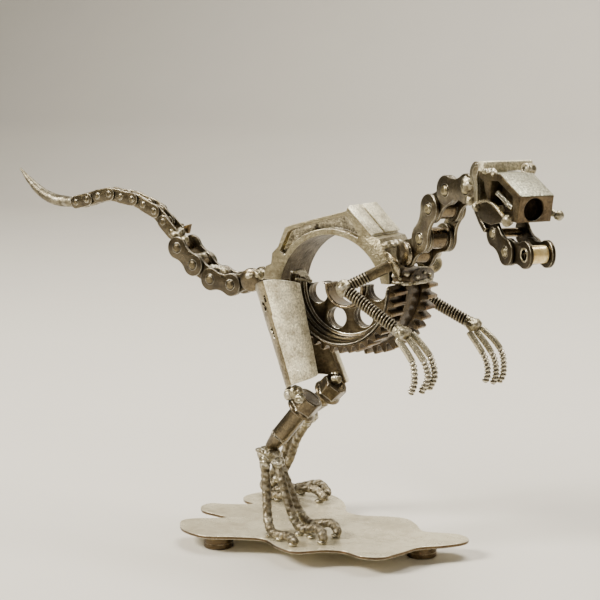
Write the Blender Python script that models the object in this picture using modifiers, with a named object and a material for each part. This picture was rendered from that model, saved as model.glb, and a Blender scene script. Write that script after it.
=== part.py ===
"""Recycled metal dinosaur: machine scrap welded into a walking figure on a cut sheet-steel plinth.

All sizes are in millimetres, and the helper functions turn them into metres. In the body frame
+X is the way the animal walks, +Y its left side, +Z up, and the table is Z = 0. Every piece is
modelled in that frame. At the end all of them hang from one empty, which moves the middle of
the sculpture's footprint onto the world's Z axis.
"""

import math

import bmesh
import bpy
from mathutils import Matrix, Vector

MM = 0.001
GAP = 0.3
WELD_DISTANCE = 0.001
SHARP_ANGLE = 35.0

# Plinth: a free-form cut sheet on three turned spacers
PLATE_THICK = 1.6
PAD_HEIGHT = 7.0
PAD_RADIUS = 7.3
PADS = {
    "foot_pad_rear_right": (-20.5, -41.5),
    "foot_pad_front": (70.0, -1.0),
    "foot_pad_rear_left": (-20.0, 31.0),
}
PLATE_TOP = PAD_HEIGHT + GAP + PLATE_THICK
PLATE_EDGE = (
    (-41.7, -44.5), (-44.2, -38.4), (-40.0, -32.3), (-32.4, -27.2), (-29.0, -22.8), (-36.7, -21.2),
    (-46.0, -19.5), (-51.8, -13.0), (-50.8, -5.9), (-44.0, -3.2), (-35.0, 2.2), (-32.4, 5.8),
    (-39.0, 7.8), (-44.1, 14.5), (-42.0, 25.5), (-33.7, 38.0), (-20.0, 43.5), (-8.0, 42.0),
    (2.5, 36.0), (10.5, 27.0), (16.0, 19.0), (25.0, 16.3), (38.0, 22.0), (48.0, 23.5),
    (57.0, 17.5), (65.0, 9.3), (73.0, 11.0), (82.0, 13.7), (89.0, 10.5), (90.8, 4.0),
    (86.0, -5.0), (76.6, -15.3), (73.8, -26.0), (69.8, -37.8), (61.0, -42.0), (50.0, -39.6),
    (40.9, -43.3), (31.0, -52.3), (20.0, -50.2), (7.3, -43.7), (-5.0, -48.0), (-19.0, -55.0),
    (-33.6, -52.1),
)
PLATE_STEPS = 2

# The figure's heights below are measured with the top of the sheet at this height
FIGURE_GROUND = 8.9

# Toe bars: reinforcing bar from the ankle weld down to the plate and out to a claw
BAR_RADIUS = 2.4
BAR_STEPS = 2
TOE_BARS = {
    "right_outer_toe_bar": ((-0.4, -30.6, 42.4), (1.4, -32.0, 30.0), (5.6, -36.6, 15.5),
                            (12.0, -41.2, 11.6), (21.5, -43.0, 12.0), (29.0, -48.0, 11.6)),
    "right_middle_toe_bar": ((4.3, -27.5, 42.4), (9.2, -29.0, 32.0), (13.5, -29.0, 20.5),
                             (19.0, -29.3, 12.6), (31.0, -32.0, 14.2), (38.6, -38.0, 11.6)),
    "right_inner_toe_bar": ((1.6, -22.3, 42.6), (7.3, -22.0, 31.0), (12.5, -21.4, 19.5),
                            (18.8, -20.0, 12.6), (30.5, -19.6, 14.2), (38.8, -25.4, 11.6)),
    "left_outer_toe_bar": ((-13.0, 28.6, 51.4), (-20.0, 29.2, 42.0), (-24.0, 29.2, 31.5),
                           (-29.6, 29.8, 21.5), (-35.0, 30.2, 13.8), (-25.5, 32.5, 12.2),
                           (-11.5, 36.0, 15.4), (-2.2, 31.8, 11.6)),
    "left_middle_toe_bar": ((-14.8, 22.8, 52.2), (-21.2, 23.6, 42.0), (-25.4, 23.6, 31.5),
                            (-31.6, 23.5, 21.5), (-38.0, 23.2, 13.6), (-28.0, 24.6, 12.2),
                            (-10.0, 27.0, 15.0), (0.8, 23.2, 11.6)),
    "left_inner_toe_bar": ((-9.0, 20.0, 51.4), (-14.8, 19.6, 42.0), (-18.2, 18.6, 32.0),
                           (-24.0, 17.6, 21.5), (-31.5, 16.0, 13.8), (-24.0, 15.6, 12.0),
                           (-14.5, 13.8, 13.2), (-7.6, 9.6, 11.6)),
}

# Legs: flange bolts for shins, head up at the knee, and tapered half tubes for thighs
SHANK_RADIUS = 4.5
SHANK_END_RADIUS = 3.0
SHANK_TAPER = 8.0
HEX_RADIUS = 6.9
HEX_HEIGHT = 7.0
FLANGE_RADIUS = 7.6
FLANGE_THICK = 2.2
LEGS = {
    "right": {"knee": (16.0, -24.3, 68.6), "ankle": (0.0, -26.0, 49.0), "weld": (-0.6, -26.5, 45.4)},
    "left": {"knee": (0.5, 24.0, 67.0), "ankle": (-8.6, 24.8, 58.0), "weld": (-11.4, 24.2, 54.6)},
}
ANKLE_WELD = (6.4, 5.6, 4.2)
THIGH_WALL = 1.8
THIGH_STEPS = 8
THIGHS = {
    "right": {"hip": (0.2, -18.5, 127.4), "hip_radius": 11.7, "hip_cut": (-5.1, 5.4, 1.9),
              "low": (17.0, -23.0, 81.0), "low_radius": 8.3, "low_cut": (-4.3, 1.1, 5.9), "side": -1},
    "left": {"hip": (-17.5, 13.4, 127.5), "hip_radius": 12.0, "hip_cut": (-0.4, 0.0, 0.8),
             "low": (1.8, 23.8, 77.0), "low_radius": 10.6, "low_cut": (-1.2, 0.0, -3.2), "side": 1},
}

# Back: a connecting-rod bearing cap, its bore across the body
ARCH_HALF = 12.5
BORE_CENTRE = (25.4, 124.0)
BORE_RADIUS = 28.7
BORE_ANGLES = (170.0, 14.5)
ARCH_OUTER = (
    (-12.9, 128.9), (-12.0, 135.4), (-8.8, 136.8), (-8.1, 142.0), (-4.6, 145.4), (-0.6, 154.9),
    (2.9, 156.3), (33.9, 164.6), (34.7, 166.4), (48.6, 153.0), (52.0, 152.4), (56.6, 145.0),
    (57.6, 133.0), (57.5, 131.2),
)
CROWN, BROW_END = ARCH_OUTER[8], ARCH_OUTER[9]
WEB_HALF = 7.0
WEB_RIM = 3.2
WEB_POCKET = ((-6.2, 144.6), (0.6, 153.6), (3.6, 154.8), (33.6, 162.8), (37.6, 159.2), (40.8, 154.6))
WEB_ANGLES = (62.0, 146.0)
SEAT_RISE = 1.6
SEAT_CUTS = ((-12.5, -3.0), (-1.2, 12.5))

# Belly: half a dished wheel in half a toothed ring on the right, a drum, and a second ring on the left
BELLY_CENTRE = (32.6, 128.3)
WHEEL_RADIUS = 27.1
WHEEL_RIM = 3.2
WHEEL_Y = (-18.2, -5.9)
WEB_Y = (-9.0, -6.4)
WHEEL_CUT, RIM_CUT, RIM_CUT_TO = 129.4, 135.4, 17.0
WHEEL_HOLES = (-166.0, -110.0, -56.0, -2.0)
WHEEL_HOLE_RADIUS = 5.2
WHEEL_HOLE_PITCH = 16.5
HUB_OUTER, HUB_INNER = 10.7, 8.9
HUB_Y = (-12.4, -2.5)
RIGHT_GEAR = {"bore": WHEEL_RADIUS + GAP, "root": 28.4, "tip": 31.2, "teeth": 38, "y": (-17.5, -5.6),
              "angles": (-170.0, 6.0)}
LEFT_GEAR = {"bore": 26.4, "root": 31.4, "tip": 35.3, "teeth": 40, "y": (8.0, 16.8),
             "angles": (-112.0, 6.0)}
DRUM_RADIUS = 30.4
DRUM_ANGLES = (-104.0, 6.0)
COLLAR_LOW, COLLAR_HIGH = (58.4, -11.5, 132.3), (68.6, 11.5, 138.9)
COLLAR_ARCH = 4.0

# Roller chains: pitch, plate height and waist, plate thickness, inner width, radii, rivet height
TAIL_CHAIN = {"pitch": 12.7, "height": 11.6, "waist": 8.6, "plate": 1.5, "inside": 7.6,
              "roller": 4.25, "pin": 2.1, "head": 0.9}
SMALL_CHAIN = {"pitch": 7.774, "height": 7.0, "waist": 6.5, "plate": 0.9, "inside": 3.4,
               "roller": 2.3, "pin": 1.2, "head": 0.0}
NECK_CHAIN = {"pitch": 15.875, "height": 13.4, "waist": 9.4, "plate": 1.7, "inside": 9.0,
              "roller": 5.0, "pin": 2.4, "head": 1.0}
JAW_CHAIN = {"pitch": 12.7, "height": 11.6, "waist": 8.8, "plate": 1.5, "inside": 8.8,
             "roller": 2.9, "pin": 2.0, "head": 0.9}
TAIL_START, TAIL_YAW, TAIL_RISES = (-24.2, -1.0, 127.0), 180.0, (-15.0, 9.0, 31.0, 39.5)
SMALL_START, SMALL_YAW = (-75.5, -1.0, 147.5), 180.0
SMALL_RISES = (43.0, 42.0, 23.0, 19.0, 7.0, 8.0, -10.0, -16.0, -13.0)
NECK_START, NECK_YAW, NECK_RISES = (68.0, -4.2, 146.0), -28.0, (31.0, 64.0, 35.0, 6.0)
TAIL_STUD = {"radius": 5.6, "near": -8.4, "far": 7.0}
NECK_STUD = {"radius": 5.5, "near": -9.2, "far": 9.4}
TAIL_ROOT_WELD = ((-16.2, -1.0, 130.8), (3.0, 6.0, 3.0))
TAIL_TIP = ((-143.7, -1.0, 160.0, 2.8), (-153.9, -1.0, 160.4, 2.8), (-161.0, -1.0, 161.9, 2.6),
            (-168.1, -1.0, 165.1, 2.2), (-175.2, -1.0, 170.4, 1.5), (-182.4, -1.0, 177.2, 0.35))
NUT_AT, NUT_SIZE, NUT_BORE = (-78.6, 5.4, 148.8), 5.0, 1.2
SPUR = ((-74.9, 150.2), (-70.4, 151.6), (-71.8, 146.4), (-75.4, 147.2))
SPUR_Y = (4.2, 6.4)

# Head, in its own frame: X forward along the snout, Y to its left, Z up, turned to the right
HEAD_ORIGIN, HEAD_YAW = (104.5, -23.5, 178.0), -30.0
SKULL_HALF = 9.0
SKULL_WALL = 2.2
SKULL_CURVE = ((19.0, 12.6), (16.6, 12.2), (14.6, 10.2), (14.2, 7.4), (16.4, 3.2), (17.6, -1.0),
               (18.4, -9.0))
BROW_X, BROW_Y, BROW_Z = (SKULL_CURVE[0][0] + GAP, 23.7), (-9.0, 16.5), (9.4, 13.8)
SNOUT_HALF = 8.6
SNOUT_SIDE = ((20.2, BROW_Z[0] - GAP), (35.4, BROW_Z[0] - GAP), (50.6, 0.8), (48.4, -10.4), (31.0, -8.8),
              (24.0, 2.0), (23.6, 5.2), (20.2, 6.4))
SNOUT_POCKET = ((28.6, -7.0), (28.6, 6.0), (34.0, 6.0), (45.0, 0.4), (45.0, -7.6))
SNOUT_POCKET_DEPTH = 6.5
NOSTRIL_AT, NOSTRIL_RADIUS, NOSTRIL_DEPTH = (49.5, 2.6, -4.9), 4.7, 11.0
SNOUT_STUB = ((43.0, 7.0, -5.2), (48.6, 12.4, -8.0))
SNOUT_STUB_RADIUS = 1.6
SNOUT_PIN = ((31.5, -6.4, 1.0), (43.2, -6.4, -4.8))
SNOUT_PIN_RADIUS = 1.6
CHEEK_CURVE = ((20.2, -5.2), (23.0, -3.2), (28.0, -2.4), (33.6, -3.8), (38.6, -6.8), (43.6, -9.8))
CHEEK_WALL = 1.1
CHEEK_THICK = 1.7
EYE_AT, EYE_RADIUS = (27.0, 12.4, 10.0), 3.0
JAW_START, JAW_YAW, JAW_RISES = (30.2, 0.0, -16.2), -5.0, (-33.0, 0.0)
JAW_ROLLER_RADIUS = 3.8

# Arms: domed bolts at the shoulders, threaded rods below the elbows, three bent rods to a hand
SHOULDER_RADIUS = 6.4
ARM_RADIUS = 2.8
ROD_RADIUS = 3.0
ARMS = {
    "right": {"shoulder": (62.4, -17.4, 141.6), "elbow": (46.0, -34.0, 131.0),
              "wrist": (74.6, -34.4, 114.4), "weld": (77.5, -34.4, 113.0)},
    "left": {"shoulder": (62.4, 17.8, 139.4), "elbow": (46.4, 33.4, 122.0),
             "wrist": (75.4, 34.0, 109.2), "weld": (78.4, 34.0, 107.8)},
}
ELBOW_WELD = (4.4, 4.6, 4.8)
WRIST_WELD = (5.0, 5.4, 4.4)
FINGER_RADIUS = 1.45
FINGER_STEPS = 2
FINGERS = {
    "right_outer_finger": ((76.4, -37.8, 111.3), (82.4, -37.8, 103.9), (84.9, -37.8, 99.2),
                           (85.4, -37.8, 92.0), (83.4, -37.8, 86.3)),
    "right_middle_finger": ((80.0, -34.4, 111.2), (85.9, -34.4, 104.4), (89.1, -34.4, 99.6),
                            (90.3, -34.4, 93.4), (86.9, -34.4, 86.8)),
    "right_inner_finger": ((80.0, -31.0, 113.0), (86.9, -31.0, 106.4), (90.3, -31.0, 101.7),
                           (91.9, -31.0, 94.6), (88.9, -31.0, 87.9)),
    "left_inner_finger": ((77.2, 30.8, 104.9), (83.6, 30.8, 96.9), (86.9, 30.8, 91.3),
                          (87.8, 30.8, 84.9), (86.2, 30.8, 80.8)),
    "left_middle_finger": ((79.3, 34.0, 105.2), (85.9, 34.0, 98.1), (89.8, 34.0, 91.8),
                           (90.6, 34.0, 84.5), (88.7, 34.0, 79.8)),
    "left_outer_finger": ((80.7, 37.2, 106.4), (88.4, 37.2, 100.2), (92.5, 37.2, 93.8),
                          (93.0, 37.2, 85.0), (90.4, 37.2, 80.2)),
}

FINISHES = {
    "brushed_sheet": ((0.42, 0.41, 0.37), 0.38),
    "ground_steel": ((0.46, 0.44, 0.38), 0.34),
    "chain_steel": ((0.20, 0.17, 0.13), 0.36),
    "dark_wheel": ((0.16, 0.14, 0.12), 0.28),
    "rusty_gear": ((0.22, 0.15, 0.09), 0.50),
    "weld_bead": ((0.52, 0.50, 0.45), 0.32),
    "bolt_steel": ((0.30, 0.26, 0.20), 0.34),
    "bright_rod": ((0.50, 0.47, 0.41), 0.28),
    "heat_tinted": ((0.52, 0.38, 0.17), 0.28),
}

UPRIGHT = Matrix.Rotation(math.pi / 2, 4, "X")


def clear_scene():
    """Empties the startup scene and its materials."""
    for thing in list(bpy.data.objects):
        bpy.data.objects.remove(thing)
    for material in list(bpy.data.materials):
        bpy.data.materials.remove(material)


def make_material(name, colour, roughness):
    """A bare-metal Principled material."""
    material = bpy.data.materials.new(name)
    material.use_nodes = True
    shader = material.node_tree.nodes["Principled BSDF"]
    shader.inputs["Base Color"].default_value = (*colour, 1.0)
    shader.inputs["Roughness"].default_value = roughness
    shader.inputs["Metallic"].default_value = 1.0
    return material


def move(point):
    """A translation to a point in millimetres."""
    return Matrix.Translation(Vector(point) * MM)


def to_object(mesh):
    """Links a mesh or a curve into the scene as a helper object."""
    thing = bpy.data.objects.new("helper", mesh)
    bpy.context.scene.collection.objects.link(thing)
    return thing


def from_bmesh(cage, matrix=None, turn_out=True):
    """Turns a bmesh in metres into a helper object, its faces turned outwards if asked."""
    if matrix is not None:
        cage.transform(matrix)
    if turn_out:
        bmesh.ops.recalc_face_normals(cage, faces=cage.faces)
        if cage.calc_volume(signed=True) < 0.0:
            bmesh.ops.reverse_faces(cage, faces=cage.faces)
    mesh = bpy.data.meshes.new("helper")
    cage.to_mesh(mesh)
    cage.free()
    return to_object(mesh)


def settle(thing, matrix=None):
    """Applies an object's modifiers, or turns a curve into a mesh, and welds its seams."""
    bpy.context.view_layer.update()
    graph = bpy.context.evaluated_depsgraph_get()
    mesh = bpy.data.meshes.new_from_object(thing.evaluated_get(graph))
    bpy.data.objects.remove(thing)
    cage = bmesh.new()
    cage.from_mesh(mesh)
    bmesh.ops.remove_doubles(cage, verts=cage.verts, dist=WELD_DISTANCE * MM)
    return from_bmesh(cage, matrix)


def combine(base, other, operation="UNION"):
    """Joins other onto base, or cuts it away; other is used up."""
    modifier = base.modifiers.new(operation.lower(), "BOOLEAN")
    modifier.operation = operation
    modifier.object = other
    whole = settle(base)
    bpy.data.objects.remove(other)
    return whole


def gather(things):
    """Puts several separate solids into one helper object."""
    cage = bmesh.new()
    for thing in things:
        cage.from_mesh(thing.data)
        bpy.data.objects.remove(thing)
    return from_bmesh(cage)


def cylinder(radius, start, end, sides=10, end_radius=None):
    """A round bar, or a cone, between two points."""
    start, end = Vector(start) * MM, Vector(end) * MM
    axis = end - start
    turn = axis.to_track_quat("Z", "Y").to_matrix().to_4x4()
    cage = bmesh.new()
    bmesh.ops.create_cone(cage, cap_ends=True, segments=sides, radius1=radius * MM,
                          radius2=(radius if end_radius is None else end_radius) * MM, depth=axis.length)
    return from_bmesh(cage, Matrix.Translation((start + end) / 2) @ turn)


def block(low, high):
    """A box between two corners."""
    low, high = Vector(low), Vector(high)
    cage = bmesh.new()
    bmesh.ops.create_cube(cage, size=MM)
    return from_bmesh(cage, move((low + high) / 2) @ Matrix.Diagonal((*(high - low), 1.0)))


def lump(centre, radii, ripple=0.08):
    """A weld bead: a ball with an uneven surface."""
    cage = bmesh.new()
    bmesh.ops.create_icosphere(cage, subdivisions=2, radius=1.0)
    for vert in cage.verts:
        x, y, z = vert.co
        swell = 1.0 + ripple * math.sin(7.0 * x + 3.0 * z) * math.cos(5.0 * y - 2.0 * z)
        vert.co = Vector((x * radii[0], y * radii[1], z * radii[2])) * swell * MM
    return from_bmesh(cage, move(centre))


def outline_solid(loops, thickness, matrix=None):
    """A flat plate from closed outlines; inner outlines are holes."""
    curve = bpy.data.curves.new("helper", "CURVE")
    curve.dimensions = "2D"
    curve.fill_mode = "BOTH"
    curve.extrude = thickness / 2 * MM
    for loop in loops:
        spline = curve.splines.new("POLY")
        spline.points.add(len(loop) - 1)
        for point, (x, y) in zip(spline.points, loop):
            point.co = (x * MM, y * MM, 0.0, 1.0)
        spline.use_cyclic_u = True
    return settle(to_object(curve), matrix)


def side_solid(loops, y_low, y_high):
    """A plate that stands in the X-Z plane, from y_low to y_high."""
    return outline_solid(loops, y_high - y_low, move((0.0, (y_low + y_high) / 2, 0.0)) @ UPRIGHT)


def arc(centre, radius, start, end, steps):
    """Points of an arc, its angles in degrees."""
    turns = [math.radians(start + (end - start) * i / steps) for i in range(steps + 1)]
    return [(centre[0] + radius * math.cos(t), centre[1] + radius * math.sin(t)) for t in turns]


def on_ring(radius, turn):
    """A point at an angle and a distance from the belly's centre."""
    return arc(BELLY_CENTRE, radius, turn, turn, 1)[0]


def ring(centre, radius, sides):
    """Points of a full circle."""
    return arc(centre, radius, 0.0, 360.0, sides)[:-1]


def smooth(points, steps):
    """A Catmull-Rom curve through points of any dimension."""
    knots = [Vector(point) for point in points]
    knots = [2 * knots[0] - knots[1], *knots, 2 * knots[-1] - knots[-2]]
    path = []
    for a, b, c, d in zip(knots, knots[1:], knots[2:], knots[3:]):
        for step in range(steps):
            t = step / steps
            path.append(0.5 * (2 * b + (c - a) * t + (2 * a - 5 * b + 4 * c - d) * t * t
                               + (3 * b - 3 * c + d - a) * t ** 3))
    return [*path, knots[-2]]


def rod(path, radius=None, resolution=1):
    """A bent round rod along a path; without a radius each point's fourth value is its own."""
    curve = bpy.data.curves.new("helper", "CURVE")
    curve.dimensions = "3D"
    curve.bevel_depth = MM
    curve.bevel_resolution = resolution
    curve.use_fill_caps = True
    spline = curve.splines.new("POLY")
    spline.points.add(len(path) - 1)
    for point, place in zip(spline.points, path):
        point.co = (*(Vector(place[:3]) * MM), 1.0)
        point.radius = place[3] if radius is None else radius
    return settle(to_object(curve))


def seat(weld, path, radius):
    """Cuts a rod's first stretch out of the weld that holds it, with the gap all round."""
    start, along = Vector(path[0]), (Vector(path[1]) - Vector(path[0])).normalized()
    cutter = rod([start - along * GAP, start + along * 12.0], radius + GAP)
    return combine(weld, cutter, "DIFFERENCE")


def strip(curve_points, wall):
    """A closed outline of even wall along an open line of points."""
    points = [Vector(point) for point in curve_points]
    outer, inner = [], []
    for i, point in enumerate(points):
        along = (points[min(i + 1, len(points) - 1)] - points[max(i - 1, 0)]).normalized()
        across = Vector((-along.y, along.x)) * wall / 2
        outer.append(tuple(point + across))
        inner.append(tuple(point - across))
    return outer + inner[::-1]


def base_plate():
    """The cut sheet: a smooth closed edge through hand-placed points."""
    curve = bpy.data.curves.new("helper", "CURVE")
    curve.dimensions = "2D"
    curve.fill_mode = "BOTH"
    curve.extrude = PLATE_THICK / 2 * MM
    curve.resolution_u = PLATE_STEPS
    spline = curve.splines.new("BEZIER")
    spline.bezier_points.add(len(PLATE_EDGE) - 1)
    for point, (x, y) in zip(spline.bezier_points, PLATE_EDGE):
        point.co = (x * MM, y * MM, 0.0)
        point.handle_left_type = point.handle_right_type = "AUTO"
    spline.use_cyclic_u = True
    return settle(to_object(curve), move((0.0, 0.0, PLATE_TOP - PLATE_THICK / 2)))


def bar_path(points):
    """A toe bar's centre line, kept one gap above the plate whatever its radius."""
    lowest = FIGURE_GROUND + GAP + BAR_RADIUS
    path = smooth(points, BAR_STEPS)
    return [Vector((x, y, max(z, lowest))) for x, y, z in path]


def shank(knee, ankle, grow=0.0):
    """The bolt's shank, drawn in at the ankle; grow makes it into its own cutter."""
    down = (ankle - knee).normalized()
    places = (knee - down * FLANGE_THICK / 2, ankle - down * SHANK_TAPER, ankle + down * grow)
    radii = (SHANK_RADIUS, SHANK_RADIUS, SHANK_END_RADIUS)
    return rod([(*place, radius + grow) for place, radius in zip(places, radii)], resolution=3)


def shin_bolt(knee, ankle):
    """A flange bolt: shank down to the ankle, flange and hexagon up at the knee."""
    up = (knee - ankle).normalized()
    flange = cylinder(FLANGE_RADIUS, knee, knee + up * FLANGE_THICK, 14, FLANGE_RADIUS * 0.86)
    head = cylinder(HEX_RADIUS, knee + up * FLANGE_THICK * 0.6, knee + up * (FLANGE_THICK + HEX_HEIGHT), 6)
    return combine(combine(shank(knee, ankle), flange), head)


def ankle_weld(centre, knee, ankle, bars):
    """The bead that joins the shank's end to the three toe bars."""
    bead = combine(lump(centre, ANKLE_WELD), shank(knee, ankle, GAP), "DIFFERENCE")
    for points in bars:
        bead = seat(bead, bar_path(points), BAR_RADIUS)
    return bead


def thigh(hip, hip_radius, hip_cut, low, low_radius, low_cut, side):
    """A tapered half tube, open towards the body; each cut end has its rear, crown and front rise."""
    cage = bmesh.new()
    rows = []
    for centre, radius, (rear, crown, front) in ((hip, hip_radius, hip_cut), (low, low_radius, low_cut)):
        row = []
        for step in range(THIGH_STEPS + 1):
            share = step / THIGH_STEPS
            turn = math.pi * share
            rise = rear + (front - rear) * share + crown * math.sin(turn)
            place = Vector(centre) + Vector((-radius * math.cos(turn), side * radius * math.sin(turn), rise))
            row.append(cage.verts.new(place * MM))
        rows.append(row)
    for a, b, c, d in zip(rows[0], rows[0][1:], rows[1], rows[1][1:]):
        cage.faces.new((a, b, d, c) if side < 0 else (a, c, d, b))
    shell = from_bmesh(cage, turn_out=False)
    wall = shell.modifiers.new("wall", "SOLIDIFY")
    wall.thickness = THIGH_WALL * MM
    wall.offset = 1.0
    wall.use_even_offset = True
    return settle(shell)


def back_arch():
    """The bearing cap: bore, I-section pockets on both faces, and two machined seats."""
    bore = arc(BORE_CENTRE, BORE_RADIUS, *BORE_ANGLES, 20)
    body = side_solid([list(ARCH_OUTER[::-1]) + bore], -ARCH_HALF, ARCH_HALF)
    pocket = list(WEB_POCKET) + arc(BORE_CENTRE, BORE_RADIUS + WEB_RIM, *WEB_ANGLES, 8)
    past = ARCH_HALF + 2.0
    for low, high in ((-past, -WEB_HALF), (WEB_HALF, past)):
        body = combine(body, side_solid([pocket], low, high), "DIFFERENCE")
    low_end, crown = Vector(BROW_END), Vector(CROWN)
    along = (crown - low_end).normalized()
    out = Vector((along.y, -along.x)) * SEAT_RISE
    corners = [low_end + along * 0.6, crown - along * 0.2]
    ridge = [tuple(corners[0] - out), tuple(corners[0] + out), tuple(corners[1] + out), tuple(corners[1] - out)]
    for low, high in SEAT_CUTS:
        body = combine(body, side_solid([ridge], low + 0.05, high - 0.05))
    return body


def gear_half(bore, root, tip, teeth, y, angles):
    """A cut piece of a toothed ring."""
    pitch = 360.0 / teeth
    count = int((angles[1] - angles[0]) / pitch)
    start = angles[0] + ((angles[1] - angles[0]) - count * pitch) / 2
    outer = [on_ring(root, angles[0])]
    for tooth in range(count):
        for share, radius in ((0.10, root), (0.34, tip), (0.62, tip), (0.88, root)):
            outer.append(on_ring(radius, start + (tooth + share) * pitch))
    outer.append(on_ring(root, angles[1]))
    inner = arc(BELLY_CENTRE, bore, angles[1], angles[0], int((angles[1] - angles[0]) / 9))
    return side_solid([outer + inner], *y)


def chest_drum():
    """The piece of tube between the two gears."""
    outer = arc(BELLY_CENTRE, DRUM_RADIUS, *DRUM_ANGLES, 12)
    inner = arc(BELLY_CENTRE, LEFT_GEAR["bore"], *DRUM_ANGLES[::-1], 12)
    return side_solid([outer + inner], RIGHT_GEAR["y"][1] + GAP, LEFT_GEAR["y"][0] - GAP)


def belly_wheel():
    """The half wheel: deep rim, pierced web and hub, cut off level with one end of the rim left long."""
    rim = side_solid([ring(BELLY_CENTRE, WHEEL_RADIUS, 32), ring(BELLY_CENTRE, WHEEL_RADIUS - WHEEL_RIM, 32)],
                     *WHEEL_Y)
    holes = [ring(on_ring(WHEEL_HOLE_PITCH, turn), WHEEL_HOLE_RADIUS, 8) for turn in WHEEL_HOLES]
    web = side_solid([ring(BELLY_CENTRE, WHEEL_RADIUS - WHEEL_RIM / 2, 32), *holes], *WEB_Y)
    hub = side_solid([ring(BELLY_CENTRE, HUB_OUTER, 14)], *HUB_Y)
    wheel = combine(combine(rim, web), hub)
    bore = side_solid([ring(BELLY_CENTRE, HUB_INNER, 14)], HUB_Y[0] - 1.0, HUB_Y[1] + 1.0)
    wheel = combine(wheel, bore, "DIFFERENCE")
    reach = WHEEL_RADIUS + 6.0
    near, far, top = WHEEL_Y[0] - 2.0, HUB_Y[1] + 2.0, WHEEL_CUT + 2 * reach
    wheel = combine(wheel, block((RIM_CUT_TO, near, WHEEL_CUT), (BELLY_CENTRE[0] + reach, far, top)), "DIFFERENCE")
    over_rim = block((BELLY_CENTRE[0] - reach, near, RIM_CUT), (RIM_CUT_TO + 1.0, far, top))
    return combine(wheel, over_rim, "DIFFERENCE")


def chest_collar():
    """The bracket over the drum that carries the neck and both shoulders."""
    low, high = Vector(COLLAR_LOW), Vector(COLLAR_HIGH)
    middle, half = (low.y + high.y) / 2, (high.y - low.y) / 2
    turns = [math.pi * i / 8 for i in range(9)]
    crown = [(middle + half * math.cos(t), high.z - COLLAR_ARCH * (1.0 - math.sin(t))) for t in turns]
    stand = Matrix(((0, 0, 1, (low.x + high.x) / 2 * MM), (1, 0, 0, 0), (0, 1, 0, 0), (0, 0, 0, 1)))
    return outline_solid([[(low.y, low.z), (high.y, low.z), *crown]], high.x - low.x, stand)


def chain_joints(start, yaw, rises, pitch):
    """Joint places along a chain, and a frame at each link: X along it, Y along its pins."""
    turn = math.radians(yaw)
    side = Vector((-math.sin(turn), math.cos(turn), 0.0))
    place = Vector(start)
    joints, frames = [place], []
    for rise in rises:
        tilt = math.radians(rise)
        along = Vector((math.cos(turn) * math.cos(tilt), math.sin(turn) * math.cos(tilt), math.sin(tilt)))
        end = place + along * pitch
        frame = Matrix((along, side, along.cross(side))).transposed().to_4x4()
        frame.translation = (place + end) / 2 * MM
        frames.append(frame)
        joints.append(end)
        place = end
    return joints, frames


def link_outline(pitch, height, waist, steps):
    """A chain plate: two round ends and a drawn-in waist."""
    half, radius = pitch / 2, height / 2
    slack = 20.0 if waist < height * 0.9 else 0.0
    front = arc((half, 0.0), radius, -90.0 - slack, 90.0 + slack, steps)
    back = arc((-half, 0.0), radius, 90.0 - slack, 270.0 + slack, steps)
    if not slack:
        return front + back
    return [*front, (0.0, waist / 2), *back, (0.0, -waist / 2)]


def pair_of_plates(chain, inner, steps):
    """Both side plates of a link."""
    plate = chain["plate"]
    middle = chain["inside"] / 2 + plate / 2 + (0.0 if inner else plate + GAP)
    outline = [link_outline(chain["pitch"], chain["height"], chain["waist"], steps)]
    plates = gather([side_solid(outline, s * middle - plate / 2, s * middle + plate / 2) for s in (-1, 1)])
    return plates, middle


def cross_bars(chain, radius, reach, ends, sides):
    """Round bars across a chain at some of a link's ends, -1 for its start and 1 for its end."""
    half = chain["pitch"] / 2
    return gather([cylinder(radius, (s * half, -reach, 0.0), (s * half, reach, 0.0), sides) for s in ends])


def outer_link(chain, steps=4, sides=6):
    """Two outer plates riveted on two pins."""
    plates, middle = pair_of_plates(chain, False, steps)
    reach = middle + (chain["plate"] / 2 + chain["head"] if chain["head"] else 0.0)
    return combine(plates, cross_bars(chain, chain["pin"], reach, (-1, 1), sides))


def inner_link(chain, steps=4, sides=8, bored=(-1, 1)):
    """Two inner plates joined by their rollers, bored clear of the pins that pass through."""
    plates, middle = pair_of_plates(chain, True, steps)
    whole = combine(plates, cross_bars(chain, chain["roller"], middle, (-1, 1), sides))
    past = middle + chain["plate"]
    bores = cross_bars(chain, (chain["pin"] + GAP) / math.cos(math.pi / 6), past, bored, 6)
    return combine(whole, bores, "DIFFERENCE")


def small_pair(frame, next_frame):
    """An outer link with the inner link behind it, rusted fast on their shared pin."""
    outer = outer_link(SMALL_CHAIN, 3)
    if next_frame is None:
        return outer
    inner = inner_link(SMALL_CHAIN, 3, 6, (1,))
    inner.data.transform(frame.inverted() @ next_frame)
    return combine(outer, inner)


def placed(thing, frame):
    """Stands a piece in its own frame."""
    thing.matrix_basis = frame
    return thing


def stud(place, yaw, chain, radius, near, far):
    """A bolt through a chain's end joint, its round head on the animal's right."""
    turn = math.radians(yaw)
    side = Vector((-math.sin(turn), math.cos(turn), 0.0))
    if side.y < 0.0:
        side = -side
    head_from = -(chain["inside"] / 2 + chain["plate"] + GAP)
    pin = cylinder(chain["pin"], place + side * (head_from - 0.5), place + side * far, 6)
    return combine(pin, cylinder(radius, place + side * near, place + side * head_from, 12))


def tail_nut():
    """A square nut stuck on the far side of the tail."""
    half = Vector((NUT_SIZE / 2, NUT_SIZE * 0.3, NUT_SIZE / 2))
    middle = Vector(NUT_AT)
    nut = block(middle - half, middle + half)
    reach = Vector((0.0, NUT_SIZE, 0.0))
    return combine(nut, cylinder(NUT_BORE, middle - reach, middle + reach, 8), "DIFFERENCE")


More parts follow.
